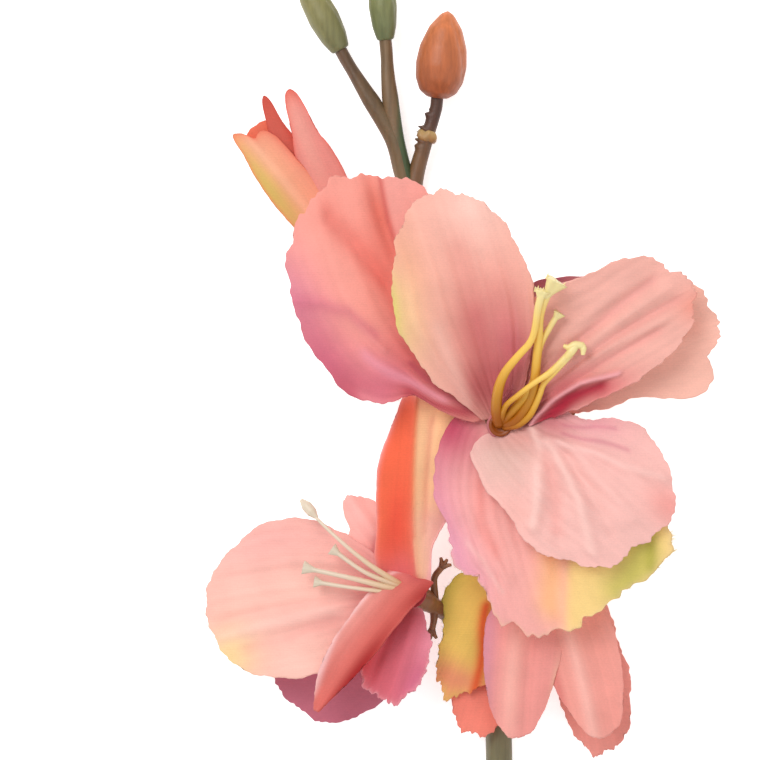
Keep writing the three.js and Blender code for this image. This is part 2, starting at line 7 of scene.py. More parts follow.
import bpy
import numpy as np
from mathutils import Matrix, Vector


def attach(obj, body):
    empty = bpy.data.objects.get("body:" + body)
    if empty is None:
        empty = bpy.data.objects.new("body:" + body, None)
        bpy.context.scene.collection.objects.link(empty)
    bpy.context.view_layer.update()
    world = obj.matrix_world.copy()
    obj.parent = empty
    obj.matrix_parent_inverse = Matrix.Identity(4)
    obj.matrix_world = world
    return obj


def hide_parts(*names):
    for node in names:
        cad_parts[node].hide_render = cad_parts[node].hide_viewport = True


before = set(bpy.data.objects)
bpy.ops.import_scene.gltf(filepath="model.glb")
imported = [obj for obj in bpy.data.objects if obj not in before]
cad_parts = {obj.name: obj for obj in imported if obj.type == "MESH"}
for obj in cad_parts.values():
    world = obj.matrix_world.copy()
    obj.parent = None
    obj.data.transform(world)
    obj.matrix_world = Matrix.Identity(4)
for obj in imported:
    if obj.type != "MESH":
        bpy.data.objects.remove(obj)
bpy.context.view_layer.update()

# ==== Table, light and camera ====
# A white light table under a large soft light and a weaker fill, as for a picture in a catalogue. The camera
# looks straight down on the upper part of the flower, which lies on the table.


def new_material(name, roughness):
    """A material with one surface shader, returned with that shader and a maker of further nodes. The maker
    takes each input by its name, or as i0, i1 and so on by its number."""
    material = bpy.data.materials.new(name)
    material.use_nodes = True
    shader = material.node_tree.nodes["Principled BSDF"]
    shader.inputs["Roughness"].default_value = roughness

    def node(kind, **inputs):
        made = material.node_tree.nodes.new(kind)
        for key, value in inputs.items():
            socket = made.inputs[int(key[1:])] if key[0] == "i" and key[1:].isdigit() else made.inputs[key]
            if isinstance(value, bpy.types.NodeSocket):
                material.node_tree.links.new(value, socket)
            else:
                socket.default_value = value
        return made

    return material, shader, node


def area_light(name, place, aim, size, watts):
    """A round soft light at a place, turned to its aim."""
    lamp = bpy.data.lights.new(name, "AREA")
    lamp.shape = "DISK"
    lamp.size = size
    lamp.energy = watts
    holder = bpy.data.objects.new(name, lamp)
    holder.location = place
    way = np.asarray(aim, float) - np.asarray(place, float)
    holder.rotation_euler = Vector(way).to_track_quat("-Z", "Y").to_euler()
    bpy.context.scene.collection.objects.link(holder)


CAMERA_HEIGHT = 1.1
VIEW_MIDDLE = (-0.030, 0.50125)
VIEW_WIDTH = 0.190  # what the picture spans at the height of the main bloom's hub
HUB_HEIGHT = 0.030
SENSOR = 36.0
camera_data = bpy.data.cameras.new("camera")
camera_data.sensor_width = SENSOR
camera_data.lens = SENSOR * (CAMERA_HEIGHT - HUB_HEIGHT) / VIEW_WIDTH
camera_data.clip_start = 0.05
camera = bpy.data.objects.new("camera", camera_data)
camera.location = (*VIEW_MIDDLE, CAMERA_HEIGHT)
bpy.context.scene.collection.objects.link(camera)
bpy.context.scene.camera = camera

BLOOMS = (0, 0.48, 0)
area_light("key_light", (-0.45, 0.95, 1.0), BLOOMS, 0.7, 7.4)
area_light("fill_light", (0.6, 0.1, 0.9), BLOOMS, 1.0, 1.6)
world = bpy.data.worlds.new("studio")
world.use_nodes = True
backdrop = world.node_tree.nodes["Background"]
backdrop.inputs["Color"].default_value = (1, 1, 1, 1)
backdrop.inputs["Strength"].default_value = 0.72
bpy.context.scene.world = world
bpy.context.scene.view_settings.view_transform = "Standard"

TABLE_WIDTH = 6.0
TABLE_DROP = 0.0002  # just under the flower, so that no two faces share a plane
bpy.ops.mesh.primitive_plane_add(size=TABLE_WIDTH, location=(0, 0.3, -TABLE_DROP))
table = bpy.context.object
table.name = "table"
table_paint, table_shader, _ = new_material("table_paint", 0.9)
table_shader.inputs["Base Color"].default_value = (0.93, 0.93, 0.93, 1)
table_shader.inputs["Specular IOR Level"].default_value = 0.1
table_shader.inputs["Emission Color"].default_value = (1, 1, 1, 1)
table_shader.inputs["Emission Strength"].default_value = 0.55
table.data.materials.append(table_paint)

# ==== Steel wire ====
# A drawn steel wire inside the moulded stem, which keeps the shape it is bent to. It shows only at the cut
# end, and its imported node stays, with a better steel.


def linear(colour):
    """A colour given as 0 to 255 steps of a screen, as linear light: ((c / 255 + 0.055) / 1.055) ** 2.4."""
    share = np.asarray(colour, float) / 255
    return np.where(share > 0.04045, ((share + 0.055) / 1.055) ** 2.4, share / 12.92)


wire_steel, wire_shader, _ = new_material("drawn_steel", 0.35)
wire_shader.inputs["Base Color"].default_value = (*linear((172, 170, 166)), 1)
wire_shader.inputs["Metallic"].default_value = 1.0
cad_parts["stem_wire"].data.materials.clear()
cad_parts["stem_wire"].data.materials.append(wire_steel)

# ==== Stem ====
# The main stem with its branches, moulded in brown and green plastic over the wire. Each branch ends in a
# peg that a calyx or a bud is pushed on, and a tan knuckle is left where the right tip branch was joined.
MM = 0.001


def unit(vectors):
    """Each vector over its own length."""
    vectors = np.asarray(vectors, float)
    return vectors / np.maximum(np.linalg.norm(vectors, axis=-1, keepdims=True), 1e-12)


def curve_through(points, steps):
    """A centripetal Catmull-Rom curve through the points, at even distances along it. Each knot is the last
    plus the square root of the chord, and a span blends its four points by the Barry-Goldman pyramid."""
    p = np.asarray(points, float)
    p = np.vstack([2 * p[0] - p[1], p, 2 * p[-1] - p[-2]])
    knots = np.concatenate([[0], np.cumsum(np.sqrt(np.linalg.norm(np.diff(p, axis=0), axis=1)))])
    fine = []
    for i in range(1, len(p) - 2):
        t0, t1, t2, t3 = knots[i - 1 : i + 3]
        t = np.linspace(t1, t2, 24, endpoint=i == len(p) - 3)[:, None]
        a1 = ((t1 - t) * p[i - 1] + (t - t0) * p[i]) / (t1 - t0)
        a2 = ((t2 - t) * p[i] + (t - t1) * p[i + 1]) / (t2 - t1)
        a3 = ((t3 - t) * p[i + 1] + (t - t2) * p[i + 2]) / (t3 - t2)
        b1 = ((t2 - t) * a1 + (t - t0) * a2) / (t2 - t0)
        b2 = ((t3 - t) * a2 + (t - t1) * a3) / (t3 - t1)
        fine.append(((t2 - t) * b1 + (t - t1) * b2) / (t2 - t1))
    fine = np.vstack(fine)
    run = np.concatenate([[0], np.cumsum(np.linalg.norm(np.diff(fine, axis=0), axis=1))])
    at = np.linspace(0, run[-1], steps + 1)
    return np.stack([np.interp(at, run, fine[:, k]) for k in range(3)], -1)


def spread(values, u):
    """The values, spread evenly over 0 to 1, read at u."""
    return np.interp(u, np.linspace(0, 1, len(values)), values)


def rod(points, radii, sides=16, steps=40, over=(0, 0, 1), section=None):
    """A closed rod along a curve: rings of corners at radius * section(turn, u), and a middle point on each
    end. Returns corners, faces, and how far along each corner is."""
    line = curve_through(points, steps)
    along = unit(np.gradient(line, axis=0))
    side = unit(np.cross(along, over))
    top = np.cross(side, along)
    u = np.linspace(0, 1, steps + 1)[:, None]
    turn = (np.arange(sides) + 0.5)[None, :] * 2 * np.pi / sides - np.pi / 2
    radius = spread(radii, u) * (np.ones_like(turn) if section is None else section(turn, u))
    ring = line[:, None] + radius[..., None] * (
        side[:, None] * np.cos(turn)[..., None] + top[:, None] * np.sin(turn)[..., None]
    )
    corners = np.vstack([ring.reshape(-1, 3), line[:1], line[-1:]])
    i, j = np.meshgrid(np.arange(steps), np.arange(sides), indexing="ij")
    a, b = i * sides + j, i * sides + (j + 1) % sides
    quads = np.stack([a, a + sides, b + sides, b], -1).reshape(-1, 4)
    j = np.arange(sides)
    first, last, k = len(corners) - 2, len(corners) - 1, (j + 1) % sides
    ends = np.vstack([
        np.stack([np.full(sides, first), j, k], -1),
        np.stack([np.full(sides, last), steps * sides + k, steps * sides + j], -1),
    ])
    share = np.concatenate([np.repeat(u[:, 0], sides), [0, 1]])
    return corners, [quads, ends], share


def lathe(profile, place, axis, sides=40, wobble=None):
    """A closed solid of revolution along an axis, from [radius, height] pairs, with both ends at radius 0 and
    each radius times wobble(turn, height). Returns corners, faces, and how far along each corner is."""
    radius, height = np.asarray(profile, float).T
    axis = unit(axis)
    side = unit(np.cross(axis, (0, 0, 1) if abs(axis[2]) < 0.9 else (1, 0, 0)))
    front = np.cross(axis, side)
    turn = np.arange(sides)[None, :] * 2 * np.pi / sides
    r, h = radius[1:-1, None], height[1:-1, None]
    r = r * (np.ones_like(turn) if wobble is None else wobble(turn, h))
    ring = np.asarray(place, float) + (
        (r * np.cos(turn))[..., None] * side
        + (r * np.sin(turn))[..., None] * front
        + (h + 0 * turn)[..., None] * axis
    )
    rows = len(radius) - 2
    ends = np.asarray(place, float) + axis * height[[0, -1], None]
    corners = np.vstack([ring.reshape(-1, 3), ends])
    i, j = np.meshgrid(np.arange(rows - 1), np.arange(sides), indexing="ij")
    a, b = i * sides + j, i * sides + (j + 1) % sides
    quads = np.stack([a, b, b + sides, a + sides], -1).reshape(-1, 4)
    j = np.arange(sides)
    k, under, over = (j + 1) % sides, rows * sides, rows * sides + 1
    caps = np.vstack([
        np.stack([np.full(sides, under), k, j], -1),
        np.stack([np.full(sides, over), (rows - 1) * sides + j, (rows - 1) * sides + k], -1),
    ])
    share = np.concatenate([np.repeat(height[1:-1], sides), height[[0, -1]]])
    return corners, [quads, caps], (share - height.min()) / np.ptp(height)


def rounded(profile, step):
    """The profile with points added every step, and its corners eased by averaging with their neighbours."""
    profile = np.asarray(profile, float)
    run = np.concatenate([[0], np.cumsum(np.linalg.norm(np.diff(profile, axis=0), axis=1))])
    at = np.linspace(0, run[-1], max(4, int(run[-1] / step)))
    fine = np.stack([np.interp(at, run, profile[:, k]) for k in range(2)], -1)
    for _ in range(2):
        fine[1:-1] = (fine[:-2] + 2 * fine[1:-1] + fine[2:]) / 4
    return fine


def build(name, shells, material, node, dyes, uvs=None):
    """One object from closed shells of (corners, faces, share). It rides on the body and stands for its CAD
    node, which it hides. A dye is a linear colour for each corner, and a uv its place on the cloth."""
    corners = np.vstack([shell[0] for shell in shells]) * MM
    faces = []
    start = 0
    for shell in shells:
        faces += [block + start for block in shell[1]]
        start += len(shell[0])
    loops = np.concatenate([block.ravel() for block in faces]).astype(np.int32)
    sizes = np.concatenate([np.full(len(block), block.shape[1]) for block in faces])
    mesh = bpy.data.meshes.new(name)
    mesh.vertices.add(len(corners))
    mesh.vertices.foreach_set("co", corners.ravel())
    mesh.loops.add(len(loops))
    mesh.loops.foreach_set("vertex_index", loops)
    mesh.polygons.add(len(sizes))
    mesh.polygons.foreach_set("loop_start", np.concatenate([[0], np.cumsum(sizes)[:-1]]).astype(np.int32))
    mesh.polygons.foreach_set("use_smooth", np.ones(len(sizes), bool))
    colour = np.hstack([np.vstack(dyes), np.ones((len(corners), 1))])
    mesh.attributes.new("dye", "FLOAT_COLOR", "POINT").data.foreach_set("color", colour.ravel())
    if uvs is not None:
        layer = mesh.uv_layers.new(name="cloth")
        layer.data.foreach_set("uv", np.vstack(uvs)[loops].ravel())
    mesh.update(calc_edges=True)
    mesh.validate()
    piece = bpy.data.objects.new(name, mesh)
    bpy.context.scene.collection.objects.link(piece)
    mesh.materials.append(material)
    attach(piece, "root")
    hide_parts(node)


def dye_of(node):
    """The colour of the dye, which build lays on each corner."""
    dye = node("ShaderNodeAttribute")
    dye.attribute_name = "dye"
    return dye.outputs["Color"]


def dimmed(node, colour, pattern, low, high, dark, light):
    """The colour times a factor, which goes from dark to light as the pattern goes from low to high."""
    factor = node("ShaderNodeMapRange", i0=pattern, i1=low, i2=high, i3=dark, i4=light).outputs["Result"]
    product = node("ShaderNodeVectorMath", i0=colour, i1=factor)
    product.operation = "MULTIPLY"
    return product.outputs["Vector"]


def link(material, source, target):
    """The output of one node of a material, led to the input of another."""
    material.node_tree.links.new(source, target)


def moulded_plastic(name, roughness):
    """Dull moulded plastic in the colour of the dye, with darker streaks along Y and a fine uneven skin."""
    material, shader, node = new_material(name, roughness)
    where = node("ShaderNodeTexCoord").outputs["Object"]
    long = node("ShaderNodeMapping", Vector=where, Scale=(1, 0.12, 1)).outputs["Vector"]
    streak = node("ShaderNodeTexNoise", Vector=long, Scale=900.0, Detail=3.0).outputs["Fac"]
    link(material, dimmed(node, dye_of(node), streak, 0.3, 0.7, 0.78, 1.12), shader.inputs["Base Color"])
    skin = node("ShaderNodeTexNoise", Vector=where, Scale=1600.0, Detail=2.0).outputs["Fac"]
    bump = node("ShaderNodeBump", Strength=0.25, Distance=0.0003, Height=skin)
    link(material, bump.outputs["Normal"], shader.inputs["Normal"])
    return material


stem_plastic = moulded_plastic("stem_plastic", roughness=0.5)
BARK = (122, 92, 64)
MOSS = (96, 104, 70)
STEM_RADIUS = 3.6
STEM_HEIGHT = STEM_RADIUS * np.cos(np.pi / 8)  # of the middle line, as one of its flats lies on the table
PEG_RUN, PEG_DEPTH, PEG_RADIUS = 3, 3.5, 1.6
FORK = (-22, 547, 5)
KNUCKLE = (-18, 563.5, 6.2)
MAIN_HUB, MAIN_AXIS, MAIN_LENGTH = (0, 490, 30), (0, 0, 1), 20.5
LEFT_HUB, LEFT_AXIS, LEFT_LENGTH = (-21, 447, 20), (-0.62, 0.4, 0.68), 15
RIGHT_HUB, RIGHT_AXIS, RIGHT_LENGTH = (11, 455, 14), (0.15, -0.8, 0.58), 14
BUD_HUB, BUD_AXIS, BUD_LENGTH = (-38, 534, 11), (-0.45, 0.88, 0.12), 12
LEFT_TIP = (-40, 585.5, 7), (-0.47, 0.88, 0.05)  # each a place and an axis
MIDDLE_TIP = (-28.6, 588, 7.5), (-0.08, 0.99, 0.08)
RIGHT_TIP = (-15.4, 573.3, 7), (0.12, 0.98, 0.1)


def blend_dye(share, first, second):
    """The first dye, going over to the second as the share goes from 0 to 1."""
    share = np.clip(share, 0, 1)[:, None]
    return linear(first) * (1 - share) + linear(second) * share


def branch_rod(points, hub, axis, length, radii, **kind):
    """A branch whose end is a peg along the axis of what it holds."""
    axis = unit(axis)
    foot = np.asarray(hub, float) - axis * length
    path = [*points, *(foot + axis * run for run in (-PEG_RUN, 0, PEG_DEPTH))]
    over = (1, 0, 0) if abs(axis[2]) > 0.8 else (0, 0, 1)
    return rod(path, [*radii, PEG_RADIUS, PEG_RADIUS], over=over, **kind)


def ridged(turn, u):
    """Three slight lobes, a cosine of the turn that winds on along the stem, and a bell-shaped ridge on
    top."""
    return 1 + 0.05 * np.cos(3 * turn + 9 * u) + 0.07 * np.exp(-(((turn - np.pi / 2) / 0.35) ** 2))


stem_line = [
    (0, -10, STEM_HEIGHT), (0, 140, STEM_HEIGHT), (0, 280, STEM_HEIGHT), (0, 420, STEM_HEIGHT),
    (-3, 460, STEM_HEIGHT), (-9, 495, 3.8), (-17, 528, 4.3), FORK,
]


def burred(turn, u):
    """Burrs of torn flash on the outer side of the right branch, between its knuckle and its bud: the fourth
    power of an uneven sine along it, on the side where the cosine of the turn is below 0."""
    run = np.clip((u - 0.42) / 0.1, 0, 1) * np.clip((0.8 - u) / 0.1, 0, 1)
    torn = np.abs(np.sin(56 * u + 2 * np.sin(23 * u))) ** 4
    return 1 + 0.85 * run * torn * np.clip(-np.cos(turn), 0, 1) ** 2


def knobbly(turn, h):
    """Three soft lobes and seven small ones round the knuckle, both sines of the turn."""
    return 1 - 0.14 * np.sin(3 * turn + h) + 0.06 * np.sin(7 * turn)


stem_shells = [
    rod(stem_line, [STEM_RADIUS, STEM_RADIUS, STEM_RADIUS, STEM_RADIUS, 3.3, 3], sides=24, steps=160,
        section=ridged),
    branch_rod([(0, 419, STEM_HEIGHT), (-2.5, 428, 5)], LEFT_HUB, LEFT_AXIS, LEFT_LENGTH, [2.6, 2.2]),
    branch_rod([(-3, 455, 3.5), (0.2, 463, 3.3), (1.8, 467, 3.2)],
               RIGHT_HUB, RIGHT_AXIS, RIGHT_LENGTH, [2.4, 2, 1.8]),
    branch_rod([(-5, 473, 3.6), (-1.5, 484, 3.5), (0, 488.5, 4.2)],
               MAIN_HUB, MAIN_AXIS, MAIN_LENGTH, [2.4, 2.1, 2]),
    branch_rod([(-9.5, 497, 3.8), (-17, 506, 4.6), (-25, 512, 7)],
               BUD_HUB, BUD_AXIS, BUD_LENGTH, [2.4, 2.1, 2]),
    branch_rod([FORK, (-24.2, 554.5, 5.4), (-26.4, 562.5, 6), (-34.5, 576, 6.7)],
               *LEFT_TIP, 0, [2.4, 2.3, 2.2, 2.2], section=ridged),
    branch_rod([FORK, (-24, 554.5, 5.4), (-26, 564, 6.2), (-27.9, 577, 6.9)],
               *MIDDLE_TIP, 0, [2.4, 2.2, 2.1, 2.1], section=ridged),
    branch_rod([FORK, (-20.6, 554.5, 5.4), KNUCKLE],
               *RIGHT_TIP, 0, [2.4, 2.1, 1.9], sides=24, steps=90, section=burred),
    lathe(rounded([[0, -1.5], [2, -1.5], [2.6, -0.4], [2.5, 0.7], [1.9, 1.6], [0, 1.6]], 0.3),
          KNUCKLE, (0.25, 0.97, 0), wobble=knobbly),
]
for corners, _, _ in stem_shells:
    corners[:, 2] = np.maximum(corners[:, 2], 0)  # flat underneath where it lies on the table
main_stem, *branches, left_tip, middle_tip, right_tip, knuckle = stem_shells
greener_side = (middle_tip[0][:, 0] + 25.5) / 1.2 + 0.4  # the middle tip branch is green on its right
stem_dyes = [
    blend_dye((main_stem[2] - 0.55) * 2, MOSS, BARK),
    *(blend_dye(branch[2], BARK, (112, 78, 56)) for branch in branches),
    blend_dye(left_tip[2] * 1.2, (112, 96, 64), (92, 66, 44)),
    blend_dye(greener_side, (112, 88, 60), (68, 86, 54)),
    blend_dye((right_tip[2] - 0.35) * 3, (110, 80, 50), (74, 44, 30)),
    blend_dye(knuckle[2], (138, 102, 58), (180, 148, 94)),
]
build("stem_body", stem_shells, stem_plastic, "stem", stem_dyes)

# ==== Main bloom: calyx ====
# A brown plastic cup with three small three-fingered claws. The stem's peg is pushed into its foot, and the
# pin of the stamens is pressed into its mouth through the petals.
FINGER_LEANS, FINGER_LENGTH = (-0.8, 0, 0.8), 2.6
calyx_plastic = moulded_plastic("calyx_plastic", roughness=0.42)


def claw_rods(hub, points):
    """An arm along the points, from the hub, with three fingers that bend on a little past its end."""
    path = np.asarray(points, float) + hub
    heading = unit(path[-1] - path[-2])
    side = unit(np.cross(heading, (0, 0, 1)))
    shells = [rod(path, [1.3, 1, 0.85, 0.8], sides=14, steps=24)]
    for lean in FINGER_LEANS:
        reach = unit(heading + side * lean) * FINGER_LENGTH
        finger = [path[-1] - heading * 0.3, path[-1] + reach * 0.5 + heading * 0.15, path[-1] + reach]
        shells.append(rod(finger, [0.75, 0.62, 0.38], sides=10, steps=10))
    return shells


def fluted(turn, h):
    """Five shallow flutes round the cup, a cosine of the turn, which lean a little as they rise."""
    return 1 + 0.035 * np.cos(5 * turn + 0.3 * h)


def calyx(name, node, hub, axis, length, claws, girth=1):
    """The cup with its foot, which girth makes slimmer, and its claws. Its foot is open to the peg only in
    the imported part."""
    cup = [[0, -length], [3, -length], [3.6, 1.2 - length], [3, 2.4 - length], [3.4, -7], [4.5, -3.5],
           [3.6, -1], [0, -1]]
    shells = [lathe(rounded(cup, 0.4) * (girth, 1), hub, axis, wobble=fluted)]
    for points in claws:
        shells += claw_rods(hub, points)
    dyes = [blend_dye(shell[2], (104, 66, 40), (140, 92, 56)) for shell in shells]
    build(name, shells, calyx_plastic, node, dyes)


calyx("main_calyx_cup", "main_calyx", MAIN_HUB, MAIN_AXIS, MAIN_LENGTH, [
    [(3, 0.3, -3), (10, 1, -3.6), (17, 1.6, -2.6)],
    [(-1.8, 2.4, -3), (-6, 9, -4), (-9, 14, -4)],
    [(-1.3, -2.8, -3), (-3.5, -7, -4.5), (-5, -10.5, -5)],
])

# ==== Main bloom: outer petals ====
# A blank of stiffened ribbed cloth with three petals, cut out hot so that its edges are uneven, sprayed with
# dyes and pressed into folds. Shade in some creases and highlights on some ridges are painted into the dyes
# as well, as noted at each petal. The pin goes through its middle, on top of the cup.
CLOTH = 0.35
PIN_RADIUS, RING_RADIUS, PETAL_START = 1.4, 3.4, 3.2
MAIN_HEART = (206, 124, 128)
EDGE_WAVES = ((7, 0.3), (13, 0.25), (23, 0.2), (41, 0.13), (67, 0.1))  # how many go round, and their height
EDGE_FADE = 14  # a higher power keeps the waves nearer to the edge
NOMINAL_LENGTH = 0.55  # of the way round by the belly, on which lobes, folds and dyes are laid out
CUP_REACH = 0.2  # how far up the petal its root stays cupped
STREAK_WAVES, STREAK_DEPTH = (9, 17, 31, 53), 0.008
FIBRE_RADII = (0.05, 0.04, 0.02)
FIBRE_ROOT, FIBRE_SPREAD, FIBRE_KINK = 0.3, 0.45, 0.08


def let_light_through(material, shader, node, colour, share):
    """The surface mixed with a share of a translucent one in the same colour."""
    glow = node("ShaderNodeBsdfTranslucent", Color=colour)
    both = node("ShaderNodeMixShader", Fac=share)
    link(material, shader.outputs["BSDF"], both.inputs[1])
    link(material, glow.outputs["BSDF"], both.inputs[2])
    link(material, both.outputs["Shader"], material.node_tree.nodes["Material Output"].inputs["Surface"])


def petal_cloth():
    """Matt ribbed cloth in the colour of the dye, a little translucent, with a pale bloom of fibre ends."""
    material, shader, node = new_material("petal_cloth", 0.85)
    cloth_map = node("ShaderNodeUVMap")
    cloth_map.uv_map = "cloth"
    cloth = cloth_map.outputs["UV"]
    wave = node("ShaderNodeTexWave", Vector=cloth, Scale=0.72, Distortion=1.2, Detail=2.0)
    wave.bands_direction = "Y"
    wave.inputs["Detail Scale"].default_value = 0.6
    rib = wave.outputs["Fac"]
    fleck = node("ShaderNodeTexNoise", Vector=cloth, Scale=2.2, Detail=3.0).outputs["Fac"]
    cloud = node("ShaderNodeTexNoise", Vector=cloth, Scale=0.16, Detail=3.0).outputs["Fac"]
    colour = dimmed(node, dye_of(node), fleck, 0.3, 0.7, 0.965, 1.03)
    colour = dimmed(node, colour, rib, 0.0, 1.0, 0.985, 1.012)
    colour = dimmed(node, colour, cloud, 0.3, 0.7, 0.955, 1.035)
    link(material, colour, shader.inputs["Base Color"])
    shader.inputs["Specular IOR Level"].default_value = 0.15
    shader.inputs["Sheen Weight"].default_value = 0.12
    shader.inputs["Sheen Roughness"].default_value = 0.5
    height = node("ShaderNodeMath", i0=rib, i1=fleck).outputs["Value"]
    bump = node("ShaderNodeBump", Strength=0.3, Distance=0.0001, Height=height)
    link(material, bump.outputs["Normal"], shader.inputs["Normal"])
    let_light_through(material, shader, node, colour, 0.18)
    return material


petal_fabric = petal_cloth()


def sheet_shell(middle, thickness):
    """A closed thin sheet round a grid of points: both faces half the thickness off it along its normal."""
    along = np.gradient(middle, axis=0)
    across = np.gradient(middle, axis=1)
    normal = unit(np.cross(across, along)) * thickness / 2
    rows, columns = middle.shape[:2]
    corners = np.vstack([(middle + normal).reshape(-1, 3), (middle - normal).reshape(-1, 3)])
    i, j = np.meshgrid(np.arange(rows - 1), np.arange(columns - 1), indexing="ij")
    a = i * columns + j
    top = np.stack([a, a + 1, a + columns + 1, a + columns], -1).reshape(-1, 4)
    under = rows * columns
    edge = np.concatenate([
        np.arange(columns - 1), np.arange(rows - 1) * columns + columns - 1,
        rows * columns - 1 - np.arange(columns - 1), (rows - 1 - np.arange(rows - 1)) * columns,
    ])
    ahead = np.roll(edge, -1)
    rim = np.stack([ahead, edge, edge + under, ahead + under], -1)
    return corners, [top, top[:, ::-1] + under, rim]


def petal_outline(petal, rows, columns):
    """The grid of a petal as (s along, t across), with each place's angle from the tip, its reach from the
    middle to the edge, and how far in mm it is pushed out. The outline widens as a sine to the widest place
    and ends as half an ellipse. Each lobe adds height * exp(-((angle - at) / width) ** 2), which fades as
    reach ** 2. Small sines of the angle and scallops, |sin|, make the edge uneven, and fade inwards as the
    higher of |v| and a to a high power, and towards the root."""
    a = np.linspace(0, 1, rows + 1)[:, None]
    v = np.linspace(-1, 1, columns + 1)[None, :]
    widest, root = petal["widest"], petal["root"]
    low = np.clip(a / widest, 0, 1)
    beyond = np.clip((a - widest) / (1 - widest), 0, 1)
    s = np.where(a <= widest, a + 0 * v, widest + (1 - widest) * beyond * np.sqrt(1 - v * v / 2))
    widening = root + (1 - root) * np.sin(low * np.pi / 2)
    t = np.where(a <= widest, v * widening, v * np.sqrt(1 - beyond**2 / 2))
    up = np.where(s > widest, (s - widest) / (1 - widest), (s - widest) / widest)
    angle = np.degrees(np.arctan2(t, up))
    reach = np.minimum(np.hypot(up, t), 1)
    lobes = 0 * s
    for at, width, height in petal.get("lobes", ()):
        lobes += height * np.exp(-(((angle - at) / width) ** 2))
    draw = np.random.default_rng(petal["seed"])
    uneven = 0 * s
    for waves, height in EDGE_WAVES:
        phase = np.radians(angle) * waves * draw.uniform(0.85, 1.15)
        uneven += height * np.sin(phase + draw.uniform(0, 6.28))
    scallops = np.abs(np.sin(np.radians(angle) * petal.get("scallops", 16) / 2 + petal["seed"])) - 0.6
    uneven += petal.get("scallop", 0) * scallops
    near_edge = np.maximum(np.abs(v), a) ** EDGE_FADE
    push = lobes * reach**2 + uneven * petal.get("ragged", 0.8) * near_edge * np.clip(a * 4, 0, 1)
    return s, t, angle, reach, push


def off_line(petal, length, x, y, points):
    """How far each place of the petal is from a line through (s, t) points, in mm on its nominal length: the
    least distance to any of the line's straight pieces."""
    spots = np.array([(s * length, t * petal["wide"][t > 0]) for s, t in points])
    off = np.full(x.shape, 1e3)
    for start, way in zip(spots, np.diff(spots, axis=0)):
        share = np.clip(((y - start[0]) * way[0] + (x - start[1]) * way[1]) / (way @ way), 0, 1)
        off = np.minimum(off, np.hypot(y - start[0] - share * way[0], x - start[1] - share * way[1]))
    return off


def petal_surface(hub, axis, lift, petal, rows, columns):
    """The middle surface of a petal on its grid. Its middle line is a quadratic Bezier curve from the ring
    to the tip, drawn towards the belly, and its cross-section an arc of curvature k, more in the cupped root.
    Folds, height * exp(-(off / width) ** 2), creases, height * exp(-off / width), pleats, which are cosines
    across the fan and fade at root and tip, a ruffle, which is a sine of the angle, and a rolled rim,
    height * exp(-edge / width), lift it off that. It also returns what petal_dye_and_painted_light needs."""
    s, t, angle, reach, push = petal_outline(petal, rows, columns)
    axis = unit(axis)
    belly, tip = np.asarray(petal["belly"], float), np.asarray(petal["tip"], float)
    start = np.asarray(petal.get("from", petal["belly"]), float)
    start = unit(start - axis * (start @ axis)) * petal.get("start", PETAL_START) + axis * lift
    length = NOMINAL_LENGTH * (np.linalg.norm(belly) + np.linalg.norm(tip - belly))
    run = (s + push * np.cos(np.radians(angle)) / length)[..., None]
    x = t * np.where(t < 0, *petal["wide"]) + push * np.sin(np.radians(angle))
    y = s * length
    line = (1 - run) ** 2 * start + 2 * run * (1 - run) * belly + run**2 * tip + np.asarray(hub, float)
    along = unit(2 * (1 - run) * (belly - start) + 2 * run * (tip - belly))
    across = unit(np.cross(along, unit(petal.get("face", (0, 0, 1)))))
    normal = np.cross(across, along)
    k = petal.get("curl", 0) + petal.get("cup", 0) * np.exp(-((s / CUP_REACH) ** 2)) + 1e-6

    rise = (1 - np.cos(k * x)) / k
    for points, width, height in petal.get("folds", ()):
        rise = rise + height * np.exp(-((off_line(petal, length, x, y, points) / width) ** 2))
    for points, width, height in petal.get("creases", ()):
        rise = rise + height * np.exp(-off_line(petal, length, x, y, points) / width)
    fan = t / (petal["root"] + (1 - petal["root"]) * np.sin(np.clip(s / petal["widest"], 0, 1) * np.pi / 2))
    between = np.sin(np.pi * np.clip(s, 0, 1) ** 0.7) ** 0.7
    for count, height, phase in petal.get("pleats", ()):
        rise = rise + height * np.cos(np.pi * count * fan + phase) * between
    count, height = petal.get("ruffle", (5, 0.8))
    waved = np.sin(np.radians(angle) * count + petal["seed"])
    rise = rise + height * waved * reach**4 * np.clip(s * 3, 0, 1)
    edge = (1 - reach) * np.mean(petal["wide"])
    height, width = petal.get("roll", (0, 1))
    rise = rise + height * np.exp(-edge / width) * np.clip(s * 4, 0, 1)
    point = line + across * (np.sin(k * x) / k)[..., None] + normal * rise[..., None]
    point[..., 2] = np.maximum(point[..., 2], CLOTH)  # what reaches the table lies on it
    return point, angle, (s, t, x, y, length, fan, edge)


